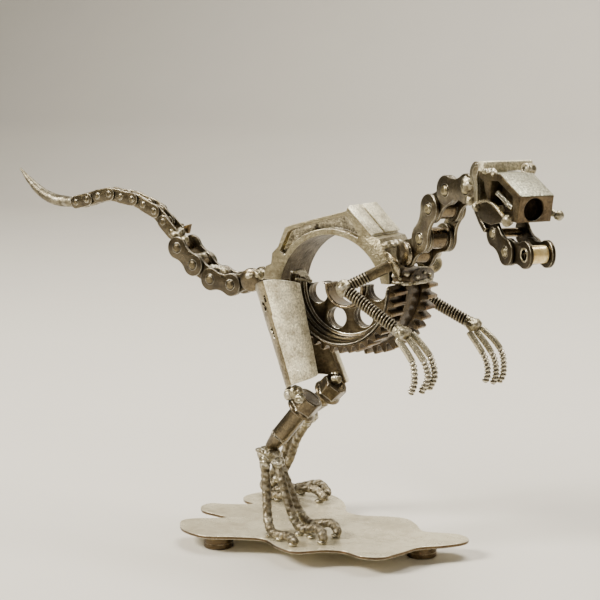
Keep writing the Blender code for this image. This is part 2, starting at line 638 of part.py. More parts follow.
def snout_block():
    """The casting of the snout: slanting top, side pocket, drilled nose and a stub on its left."""
    body = side_solid([list(SNOUT_SIDE)], -SNOUT_HALF, SNOUT_HALF)
    pocket = side_solid([list(SNOUT_POCKET)], -SNOUT_HALF - 2.0, -SNOUT_HALF + SNOUT_POCKET_DEPTH)
    body = combine(body, pocket, "DIFFERENCE")
    nose = Vector(NOSTRIL_AT)
    drill = cylinder(NOSTRIL_RADIUS, nose + Vector((4.0, 0.0, 0.0)), nose - Vector((NOSTRIL_DEPTH, 0.0, 0.0)), 16)
    body = combine(body, drill, "DIFFERENCE")
    stub = combine(rod(SNOUT_STUB, SNOUT_STUB_RADIUS), lump(SNOUT_STUB[1], (2.2, 2.2, 2.2)))
    return combine(body, stub)


def cheek_plate():
    """The bent strip that hangs beside the snout."""
    near = -SNOUT_HALF - GAP
    return side_solid([strip(CHEEK_CURVE, CHEEK_WALL)], near - CHEEK_THICK, near)


def jaw_roller(end_joint, yaw):
    """The loose roller on the jaw's last joint."""
    turn = math.radians(yaw)
    side = Vector((-math.sin(turn), math.cos(turn), 0.0)) * (JAW_CHAIN["inside"] / 2 - GAP)
    tube = cylinder(JAW_ROLLER_RADIUS, end_joint - side, end_joint + side, 12)
    bore = cylinder((JAW_CHAIN["roller"] + GAP), end_joint - side * 1.5, end_joint + side * 1.5, 12)
    return combine(tube, bore, "DIFFERENCE")


def shoulder_bolt(shoulder, elbow):
    """A domed bolt head at the shoulder, with the smooth shank that is the upper arm."""
    along = (elbow - shoulder).normalized()
    bar = cylinder(ARM_RADIUS, shoulder, arm_end(shoulder, elbow), 10)
    disc = cylinder(SHOULDER_RADIUS, shoulder, shoulder + along * 1.6, 12, SHOULDER_RADIUS * 0.8)
    dome = cylinder(SHOULDER_RADIUS * 0.55, shoulder - along * 1.8, shoulder + along * 0.4, 12,
                    SHOULDER_RADIUS * 0.96)
    return combine(combine(bar, disc), dome)


def arm_end(shoulder, elbow):
    """Where the upper arm's shank stops, inside the elbow's weld."""
    return elbow - (elbow - shoulder).normalized() * max(ELBOW_WELD) * 0.8


def forearm(shoulder, elbow, wrist, weld, fingers):
    """A threaded rod with its elbow and wrist welds, cut clear of the arm and of the hand's rods."""
    start = elbow + (wrist - elbow).normalized() * ARM_RADIUS
    whole = combine(cylinder(ROD_RADIUS, start, wrist, 10), lump(weld, WRIST_WELD))
    whole = combine(whole, lump(elbow, ELBOW_WELD))
    end = arm_end(shoulder, elbow)
    socket = cylinder(ARM_RADIUS + GAP, shoulder, end + (elbow - shoulder).normalized() * GAP, 10)
    whole = combine(whole, socket, "DIFFERENCE")
    for points in fingers:
        whole = seat(whole, smooth(points, FINGER_STEPS), FINGER_RADIUS)
    return whole


def of_side(table, side):
    """The values of a table whose names start with one side of the body."""
    return [points for name, points in table.items() if name.startswith(side)]


def plinth_pieces():
    """The sheet and its three spacers."""
    yield "base_plate", "brushed_sheet", base_plate()
    for name, (x, y) in PADS.items():
        yield name, "bolt_steel", cylinder(PAD_RADIUS, (x, y, 0.0), (x, y, PAD_HEIGHT), 14)


def leg_pieces():
    """Both legs, from the hips to the claws."""
    for name, points in TOE_BARS.items():
        yield name, "weld_bead", rod(bar_path(points), BAR_RADIUS)
    for side, leg in LEGS.items():
        knee, ankle = Vector(leg["knee"]), Vector(leg["ankle"])
        yield f"{side}_shin_bolt", "bolt_steel", shin_bolt(knee, ankle)
        weld = ankle_weld(leg["weld"], knee, ankle, of_side(TOE_BARS, side))
        yield f"{side}_ankle_weld", "weld_bead", weld
        yield f"{side}_thigh", "ground_steel", thigh(**THIGHS[side])


def body_pieces():
    """The back, the belly's wheel and gears, and the collar."""
    yield "back_arch", "ground_steel", back_arch()
    yield "right_rib_gear", "rusty_gear", gear_half(**RIGHT_GEAR)
    yield "left_rib_gear", "rusty_gear", gear_half(**LEFT_GEAR)
    yield "belly_wheel", "dark_wheel", belly_wheel()
    yield "chest_drum", "rusty_gear", chest_drum()
    yield "chest_collar", "rusty_gear", chest_collar()


def tail_pieces():
    """Root stud and weld, four large links, five small pairs, the tip, a nut and a spur."""
    joints, frames = chain_joints(TAIL_START, TAIL_YAW, TAIL_RISES, TAIL_CHAIN["pitch"])
    yield "tail_root_stud", "bolt_steel", stud(joints[0], TAIL_YAW, TAIL_CHAIN, **TAIL_STUD)
    yield "tail_root_weld", "weld_bead", lump(*TAIL_ROOT_WELD)
    for number, frame in enumerate(frames):
        shape = outer_link if number % 2 else inner_link
        yield f"tail_large_link_{number + 1}", "chain_steel", placed(shape(TAIL_CHAIN), frame)
    frames = [*chain_joints(SMALL_START, SMALL_YAW, SMALL_RISES, SMALL_CHAIN["pitch"])[1], None]
    for number, (frame, next_frame) in enumerate(zip(frames[::2], frames[1::2])):
        yield f"tail_small_link_{number + 1}", "chain_steel", placed(small_pair(frame, next_frame), frame)
    yield "tail_tip", "ground_steel", rod(smooth(TAIL_TIP, 2), resolution=2)
    yield "tail_nut", "bolt_steel", tail_nut()
    yield "tail_spur", "rusty_gear", side_solid([list(SPUR)], *SPUR_Y)


def neck_pieces():
    """The root stud and four links of the larger chain, rising to the skull."""
    joints, frames = chain_joints(NECK_START, NECK_YAW, NECK_RISES, NECK_CHAIN["pitch"])
    yield "neck_root_stud", "bolt_steel", stud(joints[0], NECK_YAW, NECK_CHAIN, **NECK_STUD)
    for number, frame in enumerate(frames):
        shape = outer_link if number % 2 else inner_link
        yield f"neck_link_{number + 1}", "chain_steel", placed(shape(NECK_CHAIN), frame)


def head_pieces():
    """Skull plate, brow bar, snout, cheek plate, eye and jaw links, all in the head's frame."""
    yield "skull_plate", "ground_steel", side_solid([strip(SKULL_CURVE, SKULL_WALL)], -SKULL_HALF, SKULL_HALF)
    yield "brow_bar", "ground_steel", block(*zip(BROW_X, BROW_Y, BROW_Z))
    yield "snout_block", "ground_steel", snout_block()
    yield "snout_pin", "bright_rod", cylinder(SNOUT_PIN_RADIUS, *SNOUT_PIN, 8)
    yield "cheek_plate", "chain_steel", cheek_plate()
    yield "eye_nut", "weld_bead", lump(EYE_AT, (EYE_RADIUS,) * 3)
    joints, frames = chain_joints(JAW_START, JAW_YAW, JAW_RISES, JAW_CHAIN["pitch"])
    yield "jaw_outer_link", "chain_steel", placed(outer_link(JAW_CHAIN), frames[0])
    yield "jaw_inner_link", "chain_steel", placed(inner_link(JAW_CHAIN), frames[1])
    yield "jaw_roller", "heat_tinted", jaw_roller(joints[-1], JAW_YAW)


def arm_pieces():
    """Both arms with their hands."""
    for side, arm in ARMS.items():
        shoulder, elbow, wrist = (Vector(arm[key]) for key in ("shoulder", "elbow", "wrist"))
        yield f"{side}_shoulder_bolt", "bolt_steel", shoulder_bolt(shoulder, elbow)
        lower = forearm(shoulder, elbow, wrist, arm["weld"], of_side(FINGERS, side))
        yield f"{side}_forearm", "bolt_steel", lower
    for name, points in FINGERS.items():
        yield name, "bright_rod", rod(smooth(points, FINGER_STEPS), FINGER_RADIUS)


def frame_empty(name, parent=None, place=(0.0, 0.0, 0.0), yaw=0.0):
    """A named empty that carries a group of pieces."""
    empty = bpy.data.objects.new(name, None)
    empty.location = Vector(place) * MM
    empty.rotation_euler.z = math.radians(yaw)
    empty.parent = parent
    bpy.context.scene.collection.objects.link(empty)
    return empty


def finish(thing, name, finish_name, parent, collection):
    """Names a finished solid, gives it its own material and hangs it from its group's empty."""
    thing.name = name
    thing.data.name = name
    thing.data.materials.clear()
    thing.data.materials.append(make_material(f"{name}_{finish_name}", *FINISHES[finish_name]))
    thing.data.shade_smooth()
    thing.data.set_sharp_from_angle(angle=math.radians(SHARP_ANGLE))
    thing.parent = parent
    bpy.context.scene.collection.objects.unlink(thing)
    collection.objects.link(thing)
    return thing


def centre_on_footprint(stand, pieces):
    """Moves the middle of the footprint onto the world's Z axis."""
    bpy.context.view_layer.update()
    corners = [thing.matrix_world @ vert.co for thing in pieces for vert in thing.data.vertices]
    for axis in (0, 1):
        stand.location[axis] = -(min(c[axis] for c in corners) + max(c[axis] for c in corners)) / 2


def main():
    """Builds the sculpture."""
    clear_scene()
    collection = bpy.data.collections.new("recycled_metal_dinosaur")
    bpy.context.scene.collection.children.link(collection)
    stand = frame_empty("sculpture")
    figure = frame_empty("figure", stand, (0.0, 0.0, PLATE_TOP - FIGURE_GROUND))
    head = frame_empty("head", figure, HEAD_ORIGIN, HEAD_YAW)
    groups = {
        stand: (plinth_pieces,),
        figure: (leg_pieces, body_pieces, tail_pieces, neck_pieces, arm_pieces),
        head: (head_pieces,),
    }
    pieces = [finish(thing, name, look, parent, collection)
              for parent, makers in groups.items() for maker in makers for name, look, thing in maker()]
    centre_on_footprint(stand, pieces)


main()
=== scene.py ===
"""Looks for the recycled metal dinosaur, a walking figure of welded machine scrap on a cut sheet.

Every shape is made in millimetres in the body frame: +X is the way the animal walks, +Y its left
side, +Z up, and the floor is Z = 0. publish() turns a finished piece into metres in the row frame.
"""

import logging
import math
from collections.abc import Callable, Iterable, Sequence
from dataclasses import dataclass, replace
from enum import Enum
from functools import partialmethod
from itertools import accumulate, chain

import bmesh
import bpy
from mathutils import Matrix, Vector, noise


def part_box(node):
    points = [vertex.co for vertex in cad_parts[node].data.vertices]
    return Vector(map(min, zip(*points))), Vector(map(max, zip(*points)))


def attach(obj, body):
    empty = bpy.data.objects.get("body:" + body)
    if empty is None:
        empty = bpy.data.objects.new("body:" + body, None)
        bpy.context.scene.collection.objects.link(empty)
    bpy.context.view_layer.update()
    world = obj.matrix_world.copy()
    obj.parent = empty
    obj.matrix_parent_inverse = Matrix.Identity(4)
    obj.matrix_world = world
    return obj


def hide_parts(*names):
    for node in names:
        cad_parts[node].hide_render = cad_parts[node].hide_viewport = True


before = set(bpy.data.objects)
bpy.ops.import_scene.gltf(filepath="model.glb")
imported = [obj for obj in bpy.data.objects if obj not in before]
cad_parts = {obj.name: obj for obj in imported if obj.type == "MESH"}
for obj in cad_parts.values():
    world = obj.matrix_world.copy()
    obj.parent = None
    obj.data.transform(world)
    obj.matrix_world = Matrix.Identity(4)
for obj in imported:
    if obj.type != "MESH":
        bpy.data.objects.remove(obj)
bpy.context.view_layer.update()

MM = 0.001
GAP = 0.3
SHARP_ANGLE = math.radians(38.0)
SAME_PLACE = 1e-4
SAME_PLANE = 0.004
FRONT_PAD = (70.0, -1.0)
PAD_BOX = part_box("foot_pad_front")
ROW_SHIFT = Vector(((PAD_BOX[0].x + PAD_BOX[1].x) / 2 - FRONT_PAD[0] * MM,
                    (PAD_BOX[0].y + PAD_BOX[1].y) / 2 - FRONT_PAD[1] * MM, 0.0))
UPRIGHT = Matrix.Rotation(math.pi / 2, 4, "X")

Point = Sequence[float]
Flat = tuple[float, float]
Colour = tuple[float, float, float]
Socket = bpy.types.NodeSocket
Profile = Callable[[float, float], Flat]

log = logging.getLogger("dinosaur")


class Slot(Enum):
    """The record's material slots."""

    BRUSHED_SHEET = "brushed_sheet"
    GROUND_STEEL = "ground_steel"
    CHAIN_STEEL = "chain_steel"
    DARK_WHEEL = "dark_wheel"
    RUSTY_GEAR = "rusty_gear"
    WELD_BEAD = "weld_bead"
    BOLT_STEEL = "bolt_steel"
    BRIGHT_ROD = "bright_rod"
    HEAT_TINTED = "heat_tinted"


class Side(Enum):
    """A side of the animal, as the sign of its Y."""

    RIGHT = -1
    LEFT = 1

    @property
    def word(self) -> str:
        """The side's name as the nodes spell it."""
        return self.name.lower()


class Wiring:
    """A shader's node tree with short ways to add to it."""

    def __init__(self, tree: bpy.types.NodeTree) -> None:
        """Takes the tree."""
        self.tree = tree

    def feed(self, node: bpy.types.Node, inputs: dict[str | int, object]) -> bpy.types.Node:
        """Wires a node.

        Args:
            node: the node.
            inputs: a socket to link from, or a plain value, for each input.

        Returns:
            The node.
        """
        for name, value in inputs.items():
            if isinstance(value, Socket):
                self.tree.links.new(value, node.inputs[name])
            else:
                node.inputs[name].default_value = value
        return node

    def lay(self, kind: str, inputs: dict[str | int, object] | None = None,
            **settings: object) -> bpy.types.Node:
        """Adds one node and wires it.

        Args:
            kind: the node's type.
            inputs: a socket to link from, or a plain value, for each input.
            settings: the node's own properties.

        Returns:
            The node.
        """
        node = self.tree.nodes.new(kind)
        for name, value in settings.items():
            setattr(node, name, value)
        return self.feed(node, inputs or {})

    def maths(self, operation: str, *values: object, clamp: bool = False) -> Socket:
        """The result of one sum, held from 0 to 1 if asked."""
        return self.lay("ShaderNodeMath", dict(enumerate(values)), operation=operation,
                        use_clamp=clamp).outputs[0]

    plus = partialmethod(maths, "ADD")
    minus = partialmethod(maths, "SUBTRACT")
    times = partialmethod(maths, "MULTIPLY")
    larger = partialmethod(maths, "MAXIMUM")

    def vectors(self, operation: str, *values: object) -> bpy.types.Node:
        """The node of one vector sum."""
        return self.lay("ShaderNodeVectorMath", dict(enumerate(values)), operation=operation)

    def mix(self, share: object, low: object, high: object) -> Socket:
        """One colour laid over another by a share."""
        low, high = ((*c, 1.0) if isinstance(c, tuple) else c for c in (low, high))
        return self.lay("ShaderNodeMix", {0: share, 6: low, 7: high}, data_type="RGBA").outputs[2]

    def spread(self, *ranges: object) -> Socket:
        """A value stretched from one range over another, by default 0 to 1, and clamped."""
        return self.lay("ShaderNodeMapRange", dict(enumerate(ranges))).outputs[0]

    def cloud(self, place: Socket, scale: object, detail: float = 4.0, rough: float = 0.55) -> Socket:
        """A noise value at a place on the surface, its scale in repeats a metre."""
        return self.lay("ShaderNodeTexNoise", {"Vector": place, "Scale": scale, "Detail": detail,
                                               "Roughness": rough}).outputs[0]


class Effect(Wiring):
    """A shader group that the finishes share. Each method wires one and gives its outputs."""

    inputs: dict[str, dict[str, object]] = {
        "edge_wear": {"Radius": 0.0005, "Breakup": 260.0, "Reach": 0.11},
        "relief": {},
        "mottle": {"Scale": 90.0, "Softness": 0.12},
        "grain": {"Scale": 900.0, "Stretch": (0.06, 1.0, 1.0)},
        "rust_bloom": {"Scale": 130.0, "Amount": 0.3},
        "weld_skin": {"Scale": 1500.0}}
    kinds: dict[str, str] = {
        "VALUE": "NodeSocketFloat", "VECTOR": "NodeSocketVector", "RGBA": "NodeSocketColor"}
    made: dict[str, bpy.types.NodeTree] = {}
    rust_dark: Colour = (0.060, 0.030, 0.015)
    rust_light: Colour = (0.27, 0.125, 0.045)

    def __init__(self, name: str) -> None:
        """Builds a group with a named socket for each of its inputs and outputs.

        Args:
            name: the method that wires it.
        """
        super().__init__(bpy.data.node_groups.new(name, "ShaderNodeTree"))
        for key, value in self.inputs[name].items():
            kind = "NodeSocketVector" if isinstance(value, tuple) else "NodeSocketFloat"
            self.tree.interface.new_socket(name=key, in_out="INPUT", socket_type=kind).default_value = value
        self.given = self.lay("NodeGroupInput").outputs
        self.place = self.lay("ShaderNodeTexCoord").outputs["Object"]
        outputs = getattr(self, name)()
        for key, value in outputs.items():
            self.tree.interface.new_socket(name=key, in_out="OUTPUT", socket_type=self.kinds[value.type])
        self.lay("NodeGroupOutput", outputs)

    @classmethod
    def use(cls, wiring: Wiring, name: str, **inputs: object) -> bpy.types.bpy_prop_collection:
        """Places a group in a material, built the first time that it is asked for.

        Args:
            wiring: the material's.
            name: the group's name.
            inputs: its inputs' values.

        Returns:
            The group's outputs.
        """
        if name not in cls.made:
            cls.made[name] = cls(name).tree
        return wiring.lay("ShaderNodeGroup", inputs, node_tree=cls.made[name]).outputs

    def edge_wear(self) -> dict[str, Socket]:
        """Where edges are rubbed bright, broken up by noise, and the rounded normal.

        Returns:
            Its outputs by name.
        """
        rounded = self.lay("ShaderNodeBevel", {"Radius": self.given["Radius"]}, samples=6).outputs[0]
        flat = self.lay("ShaderNodeNewGeometry").outputs["Normal"]
        facing = self.vectors("DOT_PRODUCT", rounded, flat).outputs["Value"]
        worn = self.spread(self.minus(1.0, facing), 0.008, self.given["Reach"])
        patchy = self.spread(self.cloud(self.place, self.given["Breakup"], 3.0), 0.36, 0.62, 0.25, 1.0)
        return {"Mask": self.times(worn, patchy, clamp=True), "Normal": rounded}

    def relief(self) -> dict[str, Socket]:
        """Crests and valleys of a surface whose mesh carries its own relief. Where it is used, the valleys
        darken the colour, partly as dirt and partly as painted shade in the hollows.
        """
        height = self.lay("ShaderNodeAttribute", attribute_name="relief").outputs["Fac"]
        return {key: self.times(height, sign, clamp=True) for key, sign in (("Crest", 1.0), ("Valley", -1.0))}

    def mottle(self) -> dict[str, Socket]:
        """Cloudy patches with small specks.

        Returns:
            Its outputs by name.
        """
        scale, softness = self.given["Scale"], self.given["Softness"]
        broad = self.cloud(self.place, scale, 5.0, 0.62)
        fine = self.cloud(self.place, self.times(scale, 6.3), 3.0, 0.6)
        both = self.plus(self.times(broad, 0.68), self.times(fine, 0.32))
        specks = self.cloud(self.place, self.times(scale, 14.0), 2.0, 0.5)
        return {"Mask": self.spread(both, self.minus(0.5, softness), self.plus(0.5, softness)),
                "Speck": self.spread(specks, 0.58, 0.72)}

    def grain(self) -> dict[str, Socket]:
        """Fine scratches that run one way, as brushing or turning leaves them."""
        drawn = self.vectors("MULTIPLY", self.place, self.given["Stretch"]).outputs[0]
        return {"Value": self.cloud(drawn, self.given["Scale"], 3.0, 0.6)}

    def rust_bloom(self) -> dict[str, Socket]:
        """Patches of old rust and their colour.

        Returns:
            Its outputs by name.
        """
        scale = self.given["Scale"]
        start = self.minus(0.72, self.times(self.given["Amount"], 0.42))
        patches = self.spread(self.cloud(self.place, scale, 8.0, 0.68), start, self.plus(start, 0.10))
        shade = self.spread(self.cloud(self.place, self.times(scale, 3.1)), 0.38, 0.62)
        return {"Mask": patches, "Colour": self.mix(shade, self.rust_dark, self.rust_light)}

    def weld_skin(self) -> dict[str, Socket]:
        """The granular skin of a weld, or of sand-cast metal.

        Returns:
            Its outputs by name.
        """
        scale = self.given["Scale"]
        cells = self.lay("ShaderNodeTexVoronoi", {"Vector": self.place, "Scale": scale, "Smoothness": 0.6},
                         feature="SMOOTH_F1").outputs["Distance"]
        return {"Height": self.plus(self.times(cells, -0.8),
                                    self.cloud(self.place, self.times(scale, 0.8), 3.0))}


@dataclass(frozen=True)
class SteelFinish:
    """A bare metal under clear lacquer. Colours are linear, scales are repeats in a metre."""

    name: str
    dark: Colour
    light: Colour
    edge: Colour
    valley: Colour = (0.035, 0.026, 0.018)
    rough: Flat = (0.26, 0.42)
    mottle_scale: float = 110.0
    softness: float = 0.13
    grain_scale: float = 900.0
    grain_stretch: Point = (0.08, 1.0, 1.0)
    grain_depth: float = 0.10
    grain_share: float = 0.14
    skin_scale: float = 1500.0
    skin_depth: float = 0.04
    rust: float = 0.10
    rust_scale: float = 140.0
    rust_share: float = 0.75
    rust_metal: float = 0.25
    rust_dulls: float = 0.22
    wear_shines: float = 0.06
    coat: float = 0.25
    coat_rough: float = 0.18
    edge_radius: float = 0.0005
    edge_share: float = 0.8
    crest_share: float = 0.75
    speck: float = 0.45
    speck_depth: float = 0.05
    metal: float = 1.0

    def material(self) -> bpy.types.Material:
        """The finish's material, built the first time that it is asked for.

        Returns:
            The material.
        """
        name = f"{self.name}_finish"
        if name in bpy.data.materials:
            return bpy.data.materials[name]
        material = bpy.data.materials.new(name)
        material.use_nodes = True
        w = Wiring(material.node_tree)
        wear = Effect.use(w, "edge_wear", Radius=self.edge_radius)
        relief = Effect.use(w, "relief")
        mottle = Effect.use(w, "mottle", Scale=self.mottle_scale, Softness=self.softness)
        grain = Effect.use(w, "grain", Scale=self.grain_scale, Stretch=self.grain_stretch)["Value"]
        rust = Effect.use(w, "rust_bloom", Scale=self.rust_scale, Amount=self.rust)
        skin = Effect.use(w, "weld_skin", Scale=self.skin_scale)["Height"]
        streak = w.spread(grain, 0.35, 0.65, 1.0 - self.grain_share, 1.0 + self.grain_share)
        stain = w.times(rust["Mask"], self.rust_share)
        bright = w.larger(w.times(wear["Mask"], self.edge_share), w.times(relief["Crest"], self.crest_share))
        colour = w.vectors("MULTIPLY", w.mix(mottle["Mask"], self.dark, self.light), streak).outputs[0]
        # Dark specks, rust, the valleys' darkening (partly dirt and partly painted shade in the hollows) and
        # the rubbed edges and crests are laid over the colour in turn.
        for share, layer in ((w.times(mottle["Speck"], self.speck), self.valley), (stain, rust["Colour"]),
                             (relief["Valley"], self.valley), (bright, self.edge)):
            colour = w.mix(share, colour, layer)
        dull = w.plus(w.spread(mottle["Mask"], 0.0, 1.0, *self.rough[::-1]), w.times(stain, self.rust_dulls))
        height = w.plus(w.times(grain, self.grain_depth), w.times(skin, self.skin_depth))
        height = w.minus(height, w.times(mottle["Speck"], self.speck_depth))
        bump = w.lay("ShaderNodeBump", {"Strength": 1.0, "Distance": MM, "Height": height,
                                        "Normal": wear["Normal"]})
        w.feed(w.tree.nodes["Principled BSDF"], {
            "Base Color": colour, "Normal": bump.outputs[0],
            "Roughness": w.minus(dull, w.times(bright, self.wear_shines), clamp=True),
            "Metallic": w.spread(stain, 0.0, 1.0, self.metal, self.rust_metal),
            "Coat Weight": self.coat, "Coat Roughness": self.coat_rough})
        return material


SHEET = SteelFinish(
    "brushed_sheet", (0.47, 0.415, 0.28), (0.87, 0.8, 0.585), (0.94, 0.9, 0.78), speck=0.1,
    rough=(0.2, 0.36), mottle_scale=38.0, grain_scale=1100.0, grain_stretch=(0.05, 1.0, 1.0),
    grain_depth=0.05, grain_share=0.07, rust=0.02, skin_depth=0.02, coat=0.15, edge_radius=0.0004, metal=0.5)
SHEET_EDGE = SteelFinish(
    "cut_sheet_edge", (0.06, 0.035, 0.016), (0.135, 0.091, 0.046), (0.52, 0.45, 0.33),
    grain_stretch=(1.0, 1.0, 0.1), grain_depth=0.16, rust=0.3)
GROUND = SteelFinish(
    "ground_steel", (0.47, 0.42, 0.285), (0.95, 0.89, 0.66), (0.96, 0.94, 0.86), rough=(0.28, 0.46),
    mottle_scale=120.0, softness=0.09, grain_scale=1500.0, grain_stretch=(1.0, 1.0, 0.7), grain_depth=0.12,
    grain_share=0.34, rust=0.08, skin_scale=1700.0, skin_depth=0.16, metal=0.35)
ROLLED_EDGE = SteelFinish(
    "rolled_edge_steel", (0.095, 0.072, 0.037), (0.3, 0.254, 0.151), (0.95, 0.92, 0.82), rough=(0.25, 0.42),
    mottle_scale=120.0, softness=0.11, grain_depth=0.04, rust=0.16, skin_depth=0.09, coat=0.3,
    edge_share=1.0)
CAST = SteelFinish(
    "sand_cast_steel", (0.12, 0.095, 0.051), (0.375, 0.333, 0.211), (0.9, 0.86, 0.74), rough=(0.27, 0.46),
    edge_share=1.0, grain_depth=0.03, rust=0.12, skin_scale=1250.0, skin_depth=0.13, coat=0.3)
HORN = replace(
    CAST, name="horn_steel", dark=(0.05, 0.041, 0.027), light=(0.25, 0.222, 0.15), coat=0.05,
    rough=(0.36, 0.52), mottle_scale=170.0)
# Grainy skin of the snout's top, painted lighter than the casting's sides as the light on its upward faces.
SNOUT_TOP_GRAIN_AND_LIGHT = replace(
    CAST, name="grainy_top_painted_light_steel", dark=(0.17, 0.164, 0.118), light=(0.48, 0.465, 0.345), metal=0.7,
    mottle_scale=900.0, softness=0.05, skin_scale=900.0, skin_depth=0.2, edge_share=0.7, coat=0.05)
SHADED_CAST = SteelFinish(
    "shaded_cast_steel", (0.03, 0.021, 0.011), (0.105, 0.081, 0.044), (0.56, 0.5, 0.37), rough=(0.42, 0.6),
    mottle_scale=130.0, grain_depth=0.03, rust=0.2, skin_scale=1250.0, skin_depth=0.12, coat=0.05)
# Near black: painted shade inside holes, for the thigh's rust pits, the nose bore and the rings round the
# rivet heads.
HOLLOW_SHADE = SteelFinish(
    "painted_hollow_shade", (0.006, 0.004, 0.002), (0.03, 0.021, 0.012), (0.1, 0.08, 0.05), rough=(0.6, 0.75),
    mottle_scale=300.0, coat=0.0, edge_share=0.0)
# High-contrast mottle for the back's pockets; its dark patches are partly painted shade in the recess under
# the flange.
POCKET_MOTTLE_AND_SHADE = SteelFinish(
    "mottled_shaded_pocket_steel", (0.04, 0.03, 0.017), (0.56, 0.505, 0.36), (0.9, 0.86, 0.74), rough=(0.24, 0.44),
    mottle_scale=230.0, softness=0.1, grain_depth=0.03, rust=0.12, skin_scale=900.0, skin_depth=0.16,
    coat=0.3)
# The snout's front face, darkened as painted shade.
SHADED_SNOUT_FACE = SteelFinish(
    "shaded_snout_face_steel", (0.06, 0.041, 0.021), (0.175, 0.126, 0.07), (0.84, 0.78, 0.64), rough=(0.28, 0.44),
    mottle_scale=150.0, grain_depth=0.03, rust=0.16, skin_scale=1250.0, skin_depth=0.12, coat=0.3)
CHAIN = SteelFinish(
    "chain_plate_steel", (0.05, 0.037, 0.019), (0.128, 0.103, 0.058), (0.84, 0.79, 0.64), rough=(0.26, 0.4),
    mottle_scale=150.0, grain_depth=0.05, rust=0.12, coat=0.4, edge_radius=0.0006, edge_share=1.0)
TAIL_CHAIN = replace(CHAIN, name="tail_plate_steel", dark=(0.032, 0.024, 0.013), light=(0.095, 0.075, 0.043))
# Chain steel darkened as the painted shadow of the snout, for the jaw plates, the cheek's thin sheet and the
# strap.
SHADOWED_CHAIN = SteelFinish(
    "shadowed_chain_steel", (0.017, 0.012, 0.006), (0.052, 0.039, 0.02), (0.66, 0.6, 0.46), rough=(0.34, 0.5),
    mottle_scale=150.0, grain_depth=0.05, rust=0.16, coat=0.1, edge_radius=0.0006, edge_share=1.0)
RIVET = SteelFinish(
    "rivet_steel", (0.195, 0.158, 0.081), (0.36, 0.31, 0.176), (0.72, 0.66, 0.51), rough=(0.24, 0.36),
    mottle_scale=260.0, grain_depth=0.04, rust=0.08, coat=0.3)
DARK_PIN = replace(
    RIVET, name="dark_pin_steel", dark=(0.085, 0.066, 0.036), light=(0.205, 0.168, 0.098), coat=0.15)
ROLLER = SteelFinish(
    "roller_steel", (0.09, 0.061, 0.028), (0.215, 0.163, 0.088), (0.62, 0.55, 0.41), rough=(0.16, 0.28),
    grain_stretch=(1.0, 1.0, 0.1), grain_depth=0.03, rust=0.06, coat=0.5, coat_rough=0.1)
WHEEL = SteelFinish(
    "dark_wheel_steel", (0.03, 0.021, 0.01), (0.105, 0.081, 0.044), (0.86, 0.81, 0.67), mottle_scale=120.0,
    grain_depth=0.03, rust=0.16, coat=0.15, coat_rough=0.14, edge_radius=0.0006, edge_share=1.0)
# Soot and rust, darkened further as painted shade: for the gear rings below their teeth, the drum between
# them and the collar.
GEAR_SOOT_AND_SHADE = SteelFinish(
    "sooty_shaded_gear_steel", (0.021, 0.014, 0.006), (0.092, 0.064, 0.031), (0.5, 0.42, 0.29), rough=(0.28, 0.46),
    mottle_scale=150.0, rust=0.3, rust_scale=120.0, rust_share=0.5, skin_depth=0.1, coat=0.35)
GEAR = SteelFinish(
    "rusty_gear_steel", (0.062, 0.035, 0.013), (0.23, 0.158, 0.07), (0.62, 0.53, 0.36), rough=(0.28, 0.46),
    mottle_scale=190.0, rust=0.5, rust_scale=120.0, rust_share=0.65, skin_depth=0.08, coat=0.35)
WELD = SteelFinish(
    "weld_bead_steel", (0.115, 0.092, 0.051), (0.4, 0.357, 0.231), (0.9, 0.86, 0.74),
    valley=(0.04, 0.028, 0.016), rough=(0.26, 0.44), mottle_scale=230.0, grain_depth=0.02, rust=0.12,
    skin_depth=0.11)
BAR = SteelFinish(
    "toe_bar_steel", (0.078, 0.06, 0.034), (0.27, 0.23, 0.148), (0.78, 0.74, 0.62),
    valley=(0.034, 0.024, 0.014), rough=(0.38, 0.56), mottle_scale=330.0, grain_depth=0.02, rust=0.18,
    skin_scale=1000.0, skin_depth=0.28, coat=0.05, crest_share=0.45)
BOLT = SteelFinish(
    "bolt_steel", (0.048, 0.035, 0.018), (0.17, 0.132, 0.074), (0.82, 0.77, 0.62), rough=(0.24, 0.38),
    mottle_scale=140.0, grain_stretch=(0.3, 1.0, 0.3), grain_depth=0.05, rust=0.2, coat=0.4)
SPACER = SteelFinish(
    "spacer_steel", (0.045, 0.028, 0.012), (0.125, 0.087, 0.042), (0.42, 0.35, 0.24), rough=(0.3, 0.44),
    mottle_scale=140.0, grain_stretch=(0.3, 0.3, 1.0), rust=0.26)
THREAD = SteelFinish(
    "threaded_steel", (0.066, 0.049, 0.026), (0.15, 0.121, 0.07), (0.66, 0.61, 0.48),
    valley=(0.004, 0.003, 0.002), rough=(0.24, 0.36), mottle_scale=300.0, grain_depth=0.02, rust=0.08,
    skin_depth=0.02, coat=0.1, edge_share=0.0, crest_share=0.35)
ROD = SteelFinish(
    "bright_rod_steel", (0.225, 0.177, 0.095), (0.53, 0.468, 0.295), (0.92, 0.87, 0.73),
    valley=(0.035, 0.022, 0.011), rough=(0.18, 0.32), mottle_scale=260.0, grain_depth=0.03, rust=0.08,
    coat=0.45)
FINGER = replace(
    ROD, name="finger_rod_steel", dark=(0.3, 0.262, 0.17), light=(0.64, 0.585, 0.42), speck=0.08,
    mottle_scale=200.0, grain_scale=1600.0, grain_stretch=(1.0, 1.0, 0.08), grain_share=0.3, metal=0.75)
POLISHED = SteelFinish(
    "polished_rod_steel", (0.6, 0.561, 0.422), (0.9, 0.867, 0.704), (0.98, 0.96, 0.9), rough=(0.08, 0.16),
    mottle_scale=120.0, grain_depth=0.01, skin_depth=0.01, rust=0.0, coat=0.6, coat_rough=0.05)
